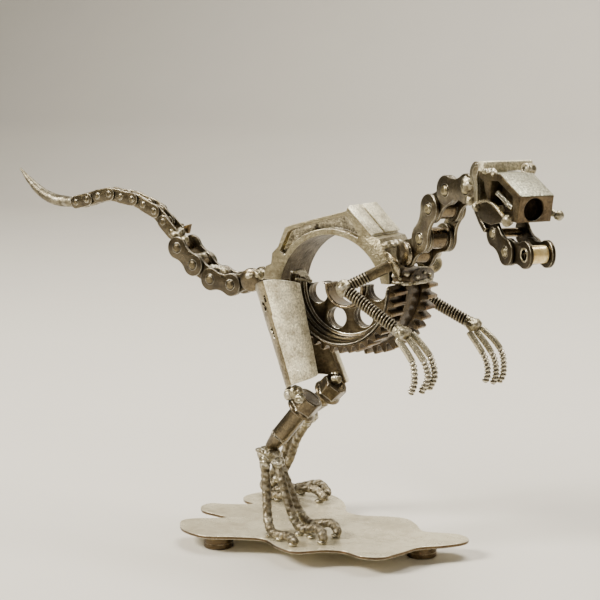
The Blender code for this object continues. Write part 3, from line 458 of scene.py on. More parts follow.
BRASSY = SteelFinish(
    "heat_tinted_steel", (0.74, 0.515, 0.19), (1.0, 0.84, 0.44), (1.0, 0.95, 0.78), rough=(0.16, 0.28),
    mottle_scale=120.0, grain_stretch=(1.0, 1.0, 0.1), grain_depth=0.03, rust=0.05, coat=0.4,
    coat_rough=0.1, metal=0.5)


def linked(name: str, data: bpy.types.ID) -> bpy.types.Object:
    """Puts data into the scene as an object.

    Args:
        name: the object's name.
        data: its mesh or curve.

    Returns:
        The object.
    """
    thing = bpy.data.objects.new(name, data)
    bpy.context.scene.collection.objects.link(thing)
    return thing


def settled(thing: bpy.types.Object) -> bpy.types.Mesh:
    """The plain mesh of an object with its modifiers, or of a curve."""
    bpy.context.view_layer.update()
    return bpy.data.meshes.new_from_object(thing.evaluated_get(bpy.context.evaluated_depsgraph_get()))


def mesh_of(cage: bmesh.types.BMesh, name: str = "helper") -> bpy.types.Mesh:
    """Turns a cage into a mesh, which uses it up.

    Args:
        cage: the cage.
        name: the mesh's name.

    Returns:
        The mesh.
    """
    mesh = bpy.data.meshes.new(name)
    cage.to_mesh(mesh)
    cage.free()
    return mesh


class Shape:
    """A closed solid in millimetres that can be cut, rounded, painted and moved."""

    def __init__(self, cage: bmesh.types.BMesh, turn_out: bool = True) -> None:
        """Takes over a cage.

        Args:
            cage: the cage, in millimetres.
            turn_out: turns its faces outwards.
        """
        if turn_out:
            bmesh.ops.recalc_face_normals(cage, faces=cage.faces)
        self.thing = linked("helper", mesh_of(cage))

    def modify(self, kind: str, **settings: object) -> "Shape":
        """Changes the shape by a modifier.

        Args:
            kind: the modifier's type.
            settings: its properties.

        Returns:
            The shape.
        """
        modifier = self.thing.modifiers.new("change", kind)
        for name, value in settings.items():
            setattr(modifier, name, value)
        mesh = settled(self.thing)
        self.thing.modifiers.clear()
        self.thing.data = mesh
        return self

    def cut(self, other: "Shape") -> "Shape":
        """Loses another shape's space, which uses that shape up.

        Args:
            other: that shape.

        Returns:
            The shape.
        """
        self.modify("BOOLEAN", operation="DIFFERENCE", object=other.thing)
        bpy.data.objects.remove(other.thing)
        return self

    def round(self, width: float, segments: int = 2, angle: float = 32.0) -> "Shape":
        """Rounds sharp edges, once the triangles of flat faces are merged.

        Args:
            width: the width of the rounding.
            segments: how many faces go round it.
            angle: edges sharper than this many degrees are rounded.

        Returns:
            The shape.
        """
        cage = bmesh.new()
        cage.from_mesh(self.thing.data)
        bmesh.ops.remove_doubles(cage, verts=cage.verts, dist=SAME_PLACE)
        bmesh.ops.dissolve_limit(cage, angle_limit=SAME_PLANE, verts=cage.verts, edges=cage.edges)
        cage.to_mesh(self.thing.data)
        cage.free()
        return self.modify("BEVEL", width=width, segments=segments, limit_method="ANGLE",
                           angle_limit=math.radians(angle), use_clamp_overlap=True)

    def paint(self, finish: SteelFinish,
              *patches: tuple[SteelFinish, Callable[[Vector, Vector], bool]]) -> "Shape":
        """Gives the shape its finish.

        Args:
            finish: the finish of most faces.
            patches: other finishes, each with a test of a face's middle and normal. The first that
                holds counts.

        Returns:
            The shape.
        """
        mesh = self.thing.data
        mesh.materials.clear()
        for each in (finish, *(patch for patch, _ in patches)):
            mesh.materials.append(each.material())
        for face in mesh.polygons:
            picked = (i for i, (_, test) in enumerate(patches, 1) if test(face.center, face.normal))
            face.material_index = next(picked, 0)
        return self

    def move(self, matrix: Matrix) -> "Shape":
        """Carries the shape by a matrix."""
        self.thing.data.transform(matrix)
        return self


def painted(finish: SteelFinish, shapes: Iterable[Shape]) -> list[Shape]:
    """Gives several shapes the same finish."""
    return [shape.paint(finish) for shape in shapes]


def publish(name: str, slot: Slot, finish: SteelFinish, shapes: Sequence[Shape], *nodes: str) -> None:
    """Makes one piece of the object out of its shapes.

    Args:
        name: the piece's name.
        slot: the record's slot that its finish comes from. It is not used.
        finish: the finish of the shapes that have none yet.
        shapes: the shapes.
        nodes: the solids that it stands for.
    """
    painted(finish, (shape for shape in shapes if not shape.thing.data.materials))
    things = [shape.thing for shape in shapes]
    piece = things[0]
    with bpy.context.temp_override(active_object=piece, object=piece, selected_objects=things,
                                   selected_editable_objects=things):
        bpy.ops.object.join()
    piece.name = piece.data.name = name
    piece.data.transform(Matrix.Translation(ROW_SHIFT) @ Matrix.Scale(MM, 4))
    piece.data.shade_smooth()
    piece.data.set_sharp_from_angle(angle=SHARP_ANGLE)
    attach(piece, "root")
    if nodes:
        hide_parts(*nodes)
    log.info("%s: %d faces, for %s", name, len(piece.data.polygons), ", ".join(nodes) or "no solid")


def arc(centre: Point, radius: float, start: float, end: float, steps: int) -> list[Flat]:
    """Points of an arc.

    Args:
        centre: its middle.
        radius: its radius.
        start: its first angle in degrees.
        end: its last angle in degrees.
        steps: how many steps it has.

    Returns:
        The points.
    """
    turns = [math.radians(start + (end - start) * i / steps) for i in range(steps + 1)]
    return [(centre[0] + radius * math.cos(t), centre[1] + radius * math.sin(t)) for t in turns]


def circle(centre: Point, radius: float, sides: int) -> list[Flat]:
    """Points of a full circle."""
    return arc(centre, radius, 0.0, 360.0, sides)[:-1]


def polar(centre: Point, radius: float, turn: float) -> Flat:
    """The point at a distance and an angle in degrees from a centre."""
    return arc(centre, radius, turn, turn, 1)[0]


def spline(knots: Sequence[Vector], steps: int) -> list[Vector]:
    """Points of a Catmull-Rom curve from its second knot up to its third.

    Args:
        knots: four knots in a row.
        steps: how many points are wanted.

    Returns:
        The points.
    """
    a, b, c, d = knots
    shares = (step / steps for step in range(steps))
    return [0.5 * (2 * b + (c - a) * t + (2 * a - 5 * b + 4 * c - d) * t * t
                   + (3 * b - 3 * c + d - a) * t ** 3) for t in shares]


def curve_through(points: Sequence[Point], steps: int) -> list[Vector]:
    """A smooth curve.

    Args:
        points: the places that it passes.
        steps: how many steps lie between two places.

    Returns:
        The points along it.
    """
    knots = [Vector(point) for point in points]
    knots = [2 * knots[0] - knots[1], *knots, 2 * knots[-1] - knots[-2]]
    fours = zip(knots, knots[1:], knots[2:], knots[3:])
    return [*chain.from_iterable(spline(four, steps) for four in fours), knots[-2]]


def distances(path: Sequence[Vector]) -> list[float]:
    """How far along a path each of its points lies."""
    return list(accumulate(((b - a).length for a, b in zip(path, path[1:])), initial=0.0))


def even_path(points: Sequence[Point], spacing: float, steps: int = 24) -> list[Vector]:
    """A smooth path with its points an even distance apart.

    Args:
        points: the places that it passes.
        spacing: about how far apart its points are.
        steps: how finely the curve is measured.

    Returns:
        The points along it.
    """
    fine = curve_through(points, steps)
    marks = distances(fine)
    count = max(2, round(marks[-1] / spacing))
    path, index = [], 0
    for step in range(count + 1):
        want = marks[-1] * step / count
        while index < len(marks) - 2 and marks[index + 1] < want:
            index += 1
        reach = marks[index + 1] - marks[index]
        path.append(fine[index].lerp(fine[index + 1], (want - marks[index]) / reach if reach else 0.0))
    return path


def between(values: Sequence[float], share: float) -> float:
    """Reads a row of values at a share of its length.

    Args:
        values: the row.
        share: the share, 0 to 1.

    Returns:
        The value there.
    """
    place = min(max(share, 0.0), 1.0) * (len(values) - 1)
    index = min(int(place), len(values) - 2)
    return values[index] + (values[index + 1] - values[index]) * (place - index)


def skin(rows: Sequence[Sequence[Point]], closed: bool = False,
         heights: Sequence[Sequence[float]] = ()) -> bmesh.types.BMesh:
    """A cage over rings of points.

    Args:
        rows: the rings in order.
        closed: joins the last ring to the first, instead of capping both.
        heights: the relief at each point, -1 to 1.

    Returns:
        The cage.
    """
    cage = bmesh.new()
    relief = cage.verts.layers.float.new("relief") if heights else None
    rings = [[cage.verts.new(place) for place in row] for row in rows]
    for vert, height in zip(cage.verts, chain.from_iterable(heights)):
        vert[relief] = height
    for low, high in zip(rings, rings[1:] + rings[:1] if closed else rings[1:]):
        for i in range(len(low)):
            j = (i + 1) % len(low)
            cage.faces.new((low[i], low[j], high[j], high[i]))
    if not closed:
        cage.faces.new(rings[0][::-1])
        cage.faces.new(rings[-1])
    return cage


def sweep(path: Sequence[Vector], profile: Profile, sides: int = 20, blunt: float = 0.0) -> Shape:
    """A round bar along a path.

    Args:
        path: the points of its middle line.
        profile: gives radius and relief at a distance along it and a turn round it.
        sides: how many points go round it.
        blunt: the length of each rounded end.

    Returns:
        The bar.
    """
    marks = distances(path)
    rows, heights = [], []
    normal = (path[1] - path[0]).orthogonal()
    for index, (place, mark) in enumerate(zip(path, marks)):
        along = (path[min(index + 1, len(path) - 1)] - path[max(index - 1, 0)]).normalized()
        normal = (normal - along * normal.dot(along)).normalized()
        across = along.cross(normal)
        from_end = min(mark, marks[-1] - mark)
        ease = math.sqrt(max(0.04, 1.0 - (1.0 - from_end / blunt) ** 2)) if from_end < blunt else 1.0
        turns = [2 * math.pi * step / sides for step in range(sides)]
        ring = [profile(mark, turn) for turn in turns]
        rows.append([place + (normal * math.cos(turn) + across * math.sin(turn)) * radius * ease
                     for turn, (radius, _) in zip(turns, ring)])
        heights.append([height for _, height in ring])
    return Shape(skin(rows, heights=heights))


def turned(profile: Sequence[Point], start: Point, towards: Point, sides: int = 36, flat: float = 0.0,
           closed: bool = False) -> Shape:
    """A turned piece.

    Args:
        profile: distance along the axis and radius, in order.
        start: where the distance is nought.
        towards: a point further along the axis.
        sides: how many points go round it.
        flat: half the width across a hexagon's flats, or nought for a round piece.
        closed: the profile is a closed loop, as a tube's is.

    Returns:
        The piece.
    """
    axis = (Vector(towards) - Vector(start)).normalized()
    turns = [2 * math.pi * step / sides for step in range(sides)]
    rows = []
    for distance, radius in profile:
        reaches = [min(radius, flat / math.cos(t % (math.pi / 3) - math.pi / 6)) if flat else radius
                   for t in turns]
        rows.append([(reach * math.cos(t), reach * math.sin(t), distance)
                     for t, reach in zip(turns, reaches)])
    cage = skin(rows, closed)
    cage.transform(Matrix.Translation(Vector(start)) @ axis.to_track_quat("Z", "Y").to_matrix().to_4x4())
    return Shape(cage)


def tube(outer: float, inner: float, start: Point, end: Point, chamfer: float = 0.3,
         sides: int = 36) -> Shape:
    """A round tube with chamfered rims.

    Args:
        outer: its outer radius.
        inner: its inner radius.
        start: the middle of one rim.
        end: the middle of the other.
        chamfer: the chamfers' width.
        sides: how many points go round it.

    Returns:
        The tube.
    """
    long = (Vector(end) - Vector(start)).length
    loop = ((chamfer, outer), (long - chamfer, outer), (long, outer - chamfer), (long, inner + chamfer),
            (long - chamfer, inner), (chamfer, inner), (0.0, inner + chamfer), (0.0, outer - chamfer))
    return turned(loop, start, end, sides, closed=True)


def block(low: Point, high: Point) -> Shape:
    """A box between two corners.

    Args:
        low: the corner with the lowest values.
        high: the opposite corner.

    Returns:
        The box.
    """
    low, high = Vector(low), Vector(high)
    cage = bmesh.new()
    bmesh.ops.create_cube(cage, size=1.0)
    cage.transform(Matrix.Translation((low + high) / 2) @ Matrix.Diagonal((*(high - low), 1.0)))
    return Shape(cage)


def lumpiness(place: Vector, seed: float) -> float:
    """The uneven height of a weld at a place, about -1 to 1."""
    coarse = noise.noise(place / 2.3 + Vector((seed, 0.0, 0.0)))
    return coarse + noise.noise(place / 1.05 + Vector((0.0, seed, 0.0))) * 0.38


def bead(centre: Point, radii: Point, seed: float, rough: float = 0.5, detail: int = 5) -> Shape:
    """A lump of weld metal.

    Args:
        centre: its middle.
        radii: its half sizes.
        seed: picks its own unevenness.
        rough: how high its skin rises, in millimetres.
        detail: how often its cage is split.

    Returns:
        The lump.
    """
    cage = bmesh.new()
    bmesh.ops.create_icosphere(cage, subdivisions=detail, radius=1.0)
    relief = cage.verts.layers.float.new("relief")
    for vert in cage.verts:
        out = vert.co.normalized()
        place = Vector((out.x * radii[0], out.y * radii[1], out.z * radii[2]))
        height = lumpiness(place + Vector(centre), seed)
        vert.co = Vector(centre) + place + out * height * rough
        vert[relief] = max(-1.0, min(1.0, height * 0.8))
    return Shape(cage)


def seam(points: Sequence[Point], radius: float, seed: float) -> list[Shape]:
    """A run of overlapping beads along a joint.

    Args:
        points: the joint's line.
        radius: the beads' radius.
        seed: picks the beads' own unevenness.

    Returns:
        The beads.
    """
    return [bead(place, (radius, radius, radius * 0.8), seed + i, radius * 0.22, 4)
            for i, place in enumerate(even_path(points, radius * 1.05, 12))]


def weld_metal(runs: Iterable[tuple], lumps: Iterable[tuple] = ()) -> list[Shape]:
    """Seams, then single lumps, each from a row of what seam() or bead() takes."""
    return [*chain.from_iterable(seam(*run) for run in runs), *(bead(*lump) for lump in lumps)]


def slab(loops: Sequence[Sequence[Point]], low: float, high: float, rounding: float = 0.3) -> Shape:
    """A plate that stands in the X-Z plane.

    Args:
        loops: its closed outlines; inner ones are holes.
        low: its lower Y.
        high: its higher Y.
        rounding: the width of its rounded edges.

    Returns:
        The plate.
    """
    curve = bpy.data.curves.new("helper", "CURVE")
    curve.dimensions = "2D"
    curve.fill_mode = "BOTH"
    curve.extrude = (high - low) / 2
    for loop in loops:
        line = curve.splines.new("POLY")
        line.points.add(len(loop) - 1)
        for point, place in zip(line.points, loop):
            point.co = (place[0], place[1], 0.0, 1.0)
        line.use_cyclic_u = True
    holder = linked("helper", curve)
    cage = bmesh.new()
    cage.from_mesh(settled(holder))
    bpy.data.objects.remove(holder)
    bmesh.ops.remove_doubles(cage, verts=cage.verts, dist=SAME_PLACE)
    cage.transform(Matrix.Translation((0.0, (low + high) / 2, 0.0)) @ UPRIGHT)
    shape = Shape(cage)
    return shape.round(rounding) if rounding else shape


def strip(points: Sequence[Point], wall: float) -> list[Flat]:
    """A closed outline of even wall along an open line.

    Args:
        points: the line.
        wall: the wall.

    Returns:
        The outline's points.
    """
    places = [Vector(point) for point in points]
    outer, inner = [], []
    for i, place in enumerate(places):
        along = (places[min(i + 1, len(places) - 1)] - places[max(i - 1, 0)]).normalized()
        across = Vector((-along.y, along.x)) * wall / 2
        outer.append(tuple(place + across))
        inner.append(tuple(place - across))
    return outer + inner[::-1]


def thread(radius: float, depth: float, pitch: float, start: float, end: float) -> Profile:
    """The profile of a rod that is threaded over part of its length.

    Args:
        radius: the crests' radius.
        depth: the thread's depth.
        pitch: the distance from crest to crest.
        start: where the thread starts.
        end: where it ends.

    Returns:
        A profile for sweep().
    """
    def profile(distance: float, turn: float) -> Flat:
        """Radius and relief of the thread at a place.

        Args:
            distance: how far along the rod.
            turn: how far round it.

        Returns:
            Both values.
        """
        if not start <= distance <= end:
            return radius - depth * 0.15, 0.0
        phase = (distance / pitch - turn / (2 * math.pi)) % 1.0
        height = 1.0 - abs(2.0 * phase - 1.0)
        return radius - depth * (1.0 - min(1.0, height * 1.25)), max(-1.0, (height - 0.60) * 2.4)
    return profile


def ribbed(radius: float, length: float, seed: float) -> Profile:
    """The profile of a twisted reinforcing bar with weld spatter, thinner at its far end.

    Args:
        radius: the bar's radius over its ribs.
        length: its length.
        seed: picks its own unevenness.

    Returns:
        A profile for sweep().
    """
    def profile(distance: float, turn: float) -> Flat:
        """Radius and relief of the bar at a place.

        Args:
            distance: how far along the bar.
            turn: how far round it.

        Returns:
            Both values.
        """
        def lumps(around: float, along: float, shift: float) -> float:
            """Noise over the bar's skin."""
            return noise.noise(Vector((math.cos(turn) * around, math.sin(turn) * around,
                                       distance / along + seed * shift)))

        rib = abs(math.sin(turn + distance / 1.15 + seed)) ** 0.7
        share = min(1.0, max(0.0, distance / 2.0))
        height = (rib - 0.62) * share * 0.62 + lumps(1.1, 1.7, 7.0) * 0.58 + lumps(3.0, 0.6, 3.0) * 0.30
        slim = 1.0 - 0.28 * max(0.0, (distance - length + 5.0) / 5.0) ** 2
        return radius * slim * (0.90 + 0.19 * height), max(-1.0, min(1.0, height * 1.1))
    return profile


@dataclass(frozen=True)
class Plinth:
    """The cut sheet and the three turned spacers under it."""

    thick: float = 1.6
    ledge: float = 0.22
    ripple: float = 0.05
    pad_height: float = 7.0
    pad_radius: float = 7.3
    pads: tuple[tuple[str, Point], ...] = (
        ("foot_pad_rear_right", (-20.5, -41.5)), ("foot_pad_front", FRONT_PAD),
        ("foot_pad_rear_left", (-20.0, 31.0)))
    edge: tuple[Point, ...] = (
        (-41.7, -44.5), (-44.2, -38.4), (-40.0, -32.3), (-32.4, -27.2), (-29.0, -22.8), (-36.7, -21.2),
        (-46.0, -19.5), (-51.8, -13.0), (-50.8, -5.9), (-44.0, -3.2), (-35.0, 2.2), (-32.4, 5.8),
        (-39.0, 7.8), (-44.1, 14.5), (-42.0, 25.5), (-33.7, 38.0), (-20.0, 43.5), (-8.0, 42.0), (2.5, 36.0),
        (10.5, 27.0), (16.0, 19.0), (25.0, 16.3), (38.0, 22.0), (48.0, 23.5), (57.0, 17.5), (65.0, 9.3),
        (73.0, 11.0), (82.0, 13.7), (89.0, 10.5), (90.8, 4.0), (86.0, -5.0), (76.6, -15.3), (73.8, -26.0),
        (69.8, -37.8), (61.0, -42.0), (50.0, -39.6), (40.9, -43.3), (31.0, -52.3), (20.0, -50.2),
        (7.3, -43.7), (-5.0, -48.0), (-19.0, -55.0), (-33.6, -52.1))

    @property
    def top(self) -> float:
        """Height of the sheet's upper face."""
        return self.pad_height + GAP + self.thick

    def sheet(self) -> Shape:
        """The sheet: a flat face above and below, and the torch-cut edge between them.

        Returns:
            The sheet, with its finishes.
        """
        corners = [Vector(corner) for corner in self.edge]
        outline = []
        for index in range(len(corners)):
            outline += spline([corners[(index + k) % len(corners)] for k in (-1, 0, 1, 2)], 9)
        low, top, ledge = self.top - self.thick, self.top, self.ledge
        rows = []
        for height, inset in ((low, -ledge), (low + ledge, 0.0), (top - ledge, 0.0), (top, -ledge)):
            row = []
            for index, place in enumerate(outline):
                along = (outline[(index + 1) % len(outline)] - outline[index - 1]).normalized()
                ripple = self.ripple * math.sin(index * 2.1) if inset == 0.0 else 0.0
                out = Vector((-along.y, along.x)) * (inset + ripple)
                row.append((place.x + out.x, place.y + out.y, height))
            rows.append(row)
        return Shape(skin(rows)).paint(SHEET, (SHEET_EDGE, lambda _, normal: abs(normal.z) < 0.4))

    def build(self) -> None:
        """Makes the sheet and the spacers."""
        publish("cut_sheet", Slot.BRUSHED_SHEET, SHEET, [self.sheet()], "base_plate")
        radius, tall = self.pad_radius, self.pad_height
        profile = ((0.0, radius - 0.6), (0.5, radius), (2.4, radius), (2.6, radius - 0.25), (2.8, radius),
                   (tall - 0.4, radius), (tall, radius - 0.5))
        for name, (x, y) in self.pads:
            pad = turned(profile, (x, y, 0.0), (x, y, 1.0), 64)
            publish(f"turned_{name}", Slot.BOLT_STEEL, SPACER, [pad], name)


@dataclass(frozen=True)
class Leg:
    """A thigh of bent sheet, a flange bolt for a shin, and three toes of reinforcing bar."""

    side: Side
    knee: Point
    ankle: Point
    weld: Point
    toes: tuple[tuple[str, tuple[Point, ...]], ...]
    hip: Point
    hip_radius: float
    hip_cut: Point
    low: Point
    low_radius: float
    low_cut: Point
    knee_beads: tuple[tuple[Point, Point], ...]
    pits: tuple[Point, ...] = ()
    spots: tuple[Flat, ...] = ((0.60, 1.5), (0.74, 1.3), (0.93, 1.4))
    ground: float = 8.9
    bar_radius: float = 2.4
    shank_radius: float = 4.5
    shank_end: float = 3.0
    taper: float = 8.0
    hex_radius: float = 6.9
    hex_height: float = 7.0
    flange_radius: float = 7.6
    flange_thick: float = 2.2
    wall: float = 1.8
    spot_shape: Point = (1.7, 1.6, 0.75)
    bend_weld: Point = (2.5, 2.4, 2.2)
    ankle_weld: Point = (6.1, 5.5, 4.3)

    def toe(self, points: tuple[Point, ...], seed: float) -> Shape:
        """One toe bar, ribbed along its length and blunt at the claw.

        Args:
            points: the places that it passes.
            seed: picks its own unevenness.

        Returns:
            The bar.
        """
        lowest = self.ground + GAP + self.bar_radius
        path = [Vector((p.x, p.y, max(p.z, lowest))) for p in even_path(points, 0.42)]
        return sweep(path, ribbed(self.bar_radius, distances(path)[-1], seed), 22, 1.8)

    def toe_welds(self, points: tuple[Point, ...], seed: float) -> list[Shape]:
        """Spots of weld where a toe bends and where it meets the sheet.

        Args:
            points: the places that the toe passes.
            seed: picks the spots' own unevenness.

        Returns:
            The spots.
        """
        lowest = self.ground + 0.9
        path = even_path(points, 0.5)
        spots = []
        for share, size in self.spots:
            place = path[int(share * (len(path) - 1))]
            if place.z < lowest + 6.0:
                radii = [size * part for part in self.spot_shape]
                spots.append(bead((place.x, place.y - 0.4, lowest), radii, seed + share * 9, 0.3, 4))
        bend = path[int(0.5 * (len(path) - 1))]
        return [*spots, bead(bend, self.bend_weld, seed + 5.0, 0.42, 4)]

    def shin(self) -> list[Shape]:
        """The flange bolt, head up at the knee.

        Returns:
            The bolt's shank, flange and head.
        """
        knee, ankle = Vector(self.knee), Vector(self.ankle)
        up = knee + (knee - ankle).normalized()
        length = (knee - ankle).length
        neck, radius = length - self.taper, self.shank_radius
        shank = turned(((-1.0, radius), (neck - 1.0, radius), (neck - 0.7, radius - 0.35),
                        (neck - 0.3, radius - 0.35), (neck, radius + 0.12), (neck + 0.7, radius - 0.1),
                        (length, self.shank_end)), knee, ankle, 48)
        rim, thick = self.flange_radius, self.flange_thick
        flange = turned(((-0.1, 5.0), (0.0, rim - 0.7), (0.35, rim - 0.15), (0.9, rim), (1.4, rim - 0.2),
                         (thick, rim * 0.86), (thick + 0.1, 5.0)), knee, up, 60)
        tall, flat = thick + self.hex_height, self.hex_radius * math.cos(math.pi / 6)
        head = turned(((thick * 0.6, self.hex_radius), (tall - 1.1, self.hex_radius),
                       (tall - 0.2, flat + 0.1), (tall, flat - 0.5), (tall, flat - 1.2),
                       (tall - 0.35, flat - 1.6)), knee, up, 72, flat)
        return [shank, flange, head]

    def ankle_metal(self, seed: float) -> list[Shape]:
        """The weld that holds the shank and the three bars, with runs over the bars' tops.

        Args:
            seed: picks its own unevenness.

        Returns:
            The lumps.
        """
        x, y, z = self.weld
        runs = []
        for index, (_, points) in enumerate(self.toes):
            top, below = Vector(points[0]), Vector(points[1])
            runs.append(((top.lerp(below, -0.12), top.lerp(below, 0.14)), 2.7, seed + 11.0 * index))
        runs.append((((x - 4.6, y - 2.6, z + 2.2), (x - 1.0, y - 5.4, z + 2.8), (x + 3.4, y - 4.6, z + 1.6)),
                     1.5, seed + 3.0))
        return [bead(self.weld, self.ankle_weld, seed, 0.75), *weld_metal(runs)]

    def on_shell(self, share: float, fall: float, rise: float = 0.0) -> Vector:
        """A place on the thigh's half tube.

        Args:
            share: how far round it lies, from the back at 0 to the front at 1.
            fall: how far down it lies, from the hip at 0 to the knee at 1.
            rise: how much higher it lies than that.

        Returns:
            The place.
        """
        radius = self.hip_radius + (self.low_radius - self.hip_radius) * fall
        turn = math.pi * share
        across = Vector((-radius * math.cos(turn), self.side.value * radius * math.sin(turn), rise))
        return Vector(self.hip).lerp(Vector(self.low), fall) + across

    def thigh(self, seed: float) -> Shape:
        """A tapered half tube, open towards the body, with rust pits in its near face.

        Args:
            seed: picks its own unevenness.

        Returns:
            The shape, with its finishes.
        """
        around, down, side = 48, 30, self.side.value
        cage = bmesh.new()
        rows = []
        for level in range(down + 1):
            row = []
            for step in range(around + 1):
                share, fall = step / around, level / down
                turn = math.pi * share
                hip, low = (rear + (front - rear) * share + crown * math.sin(turn)
                            for rear, crown, front in (self.hip_cut, self.low_cut))
                place = self.on_shell(share, fall, hip + (low - hip) * fall)
                out = Vector((-math.cos(turn), side * math.sin(turn), 0.0))
                uneven = noise.noise(place / 9.0 + Vector((seed, 0.0, 0.0))) * 0.16
                row.append(cage.verts.new(place + out * uneven))
            rows.append(row)
        for high, low in zip(rows, rows[1:]):
            for a, b, c, d in zip(high, high[1:], low, low[1:]):
                cage.faces.new((a, b, d, c) if self.side is Side.RIGHT else (a, c, d, b))
        shell = Shape(cage, turn_out=False)
        shell.modify("SOLIDIFY", thickness=self.wall, offset=1.0, use_even_offset=True)
        marks = []
        for share, fall, size in self.pits:
            place = self.on_shell(share, fall)
            shell.cut(bead(place, (size, size * 0.9, size * 1.35), share * 40 + fall * 9, 0.4, 3))
            marks.append((place, size * 1.05))
        edge = ((Vector(self.hip) + Vector(self.low)) / 2).y - 4.0 * side
        # The pits are painted near black as the shade inside them, and the faces towards the body take the
        # shaded cast finish as painted shade.
        return shell.round(0.45, 2, 50.0).paint(
            GROUND, (HOLLOW_SHADE, lambda place, _: any((place - mark).length < reach for mark, reach in marks)),
            (SHADED_CAST, lambda place, normal: (place.y - edge) * side < 1.0 or normal.y * side < -0.2),
            (ROLLED_EDGE, lambda _, normal: normal.x < -0.16))

    def build(self) -> None:
        """Makes the leg."""
        word, side = self.side.word, self.side.value
        for index, (name, points) in enumerate(self.toes):
            seed = 3.1 * index + 7.7 * side
            shapes = [self.toe(points, seed), *painted(WELD, self.toe_welds(points, seed))]
            publish(f"ribbed_{name}", Slot.WELD_BEAD, BAR, shapes, name)
        publish(f"flanged_{word}_shin", Slot.BOLT_STEEL, BOLT, self.shin(), f"{word}_shin_bolt")
        publish(f"beaded_{word}_ankle", Slot.WELD_BEAD, WELD, self.ankle_metal(5.0 + side),
                f"{word}_ankle_weld")
        publish(f"bent_{word}_thigh", Slot.GROUND_STEEL, GROUND, [self.thigh(2.0 * side)], f"{word}_thigh")
        beads = [bead(place, radii, 31.0 + i, 0.6) for i, (place, radii) in enumerate(self.knee_beads)]
        publish(f"{word}_knee_bead", Slot.WELD_BEAD, WELD, beads)


@dataclass(frozen=True)
class BearingCap:
    """The back: a connecting rod's bearing cap, its bore across the body."""

    half: float = 12.5
    centre: Point = (25.4, 124.0)
    bore: float = 28.7
    angles: Flat = (170.0, 14.5)
    outline: tuple[Point, ...] = (
        (-12.9, 128.9), (-12.0, 135.4), (-8.8, 136.8), (-8.1, 142.0), (-4.6, 145.4), (-0.6, 154.9),
        (2.9, 156.3), (33.9, 164.6), (34.7, 166.4), (48.6, 153.0), (52.0, 152.4), (56.6, 145.0),
        (57.6, 133.0), (57.5, 131.2))
    web_half: float = 8.6
    rim: float = 3.0
    pocket: tuple[Point, ...] = (
        (-3.6, 143.4), (0.9, 152.8), (3.8, 154.4), (33.2, 162.3), (37.2, 158.8), (40.4, 154.2))
    pocket_angles: Flat = (62.0, 146.0)
    seat_ends: tuple[int, int] = (9, 8)
    seat_rise: float = 1.6
    seats: tuple[Flat, ...] = ((-12.5, -3.0), (-1.2, 12.5))

    def build(self) -> None:
        """Makes the casting with its two pockets and two machined seats."""
        past = self.half + 2.0
        loop = [*self.pocket, *arc(self.centre, self.bore + self.rim, *self.pocket_angles, 30)]
        body = slab([[*self.outline[::-1], *arc(self.centre, self.bore, *self.angles, 72)]],
                    -self.half, self.half, 0.0)
        for low, high in ((-past, -self.web_half), (self.web_half, past)):
            body.cut(slab([loop], low, high, 0.0))
        middle = Vector((self.centre[0], 0.0, self.centre[1]))

        def in_bore(place: Vector, normal: Vector) -> bool:
            """Tells whether a face looks at the bore's axis.

            Args:
                place: the face's middle.
                normal: its normal.

            Returns:
                Whether it does.
            """
            inwards = middle - place
            inwards.y = 0.0
            return inwards.length < self.bore + 0.6 and normal.dot(inwards) > 0.7 * inwards.length

        def in_pocket(place: Vector, normal: Vector) -> bool:
            """Tells whether a face is the floor or the wall of a pocket.

            Args:
                place: the face's middle.
                normal: its normal.

            Returns:
                Whether it is.
            """
            crossed = sum((z0 > place.z) != (z1 > place.z)
                          and place.x < (x1 - x0) * (place.z - z0) / (z1 - z0) + x0
                          for (x0, z0), (x1, z1) in zip(loop, loop[1:] + loop[:1]))
            floor = abs(abs(place.y) - self.web_half) < 0.05 and abs(normal.y) > 0.9
            return floor or (abs(place.y) < self.half - 0.8 and crossed % 2 == 1)

        # The bore takes the shaded cast finish as painted shade; the pockets take the mottle whose dark
        # patches are partly painted shade.
        body.round(0.7, 3).paint(CAST, (SHADED_CAST, in_bore), (POCKET_MOTTLE_AND_SHADE, in_pocket))
        foot, crown = (Vector(self.outline[end]) for end in self.seat_ends)
        along = (crown - foot).normalized()
        out = Vector((along.y, -along.x)) * self.seat_rise
        foot, crown = foot + along * 0.6, crown - along * 0.2
        ridge = [tuple(foot - out), tuple(foot + out), tuple(crown + out), tuple(crown - out)]
        seats = [slab([ridge], low + 0.05, high - 0.05, 0.45) for low, high in self.seats]
        publish("cast_back_arch", Slot.GROUND_STEEL, GROUND, [body, *seats], "back_arch")


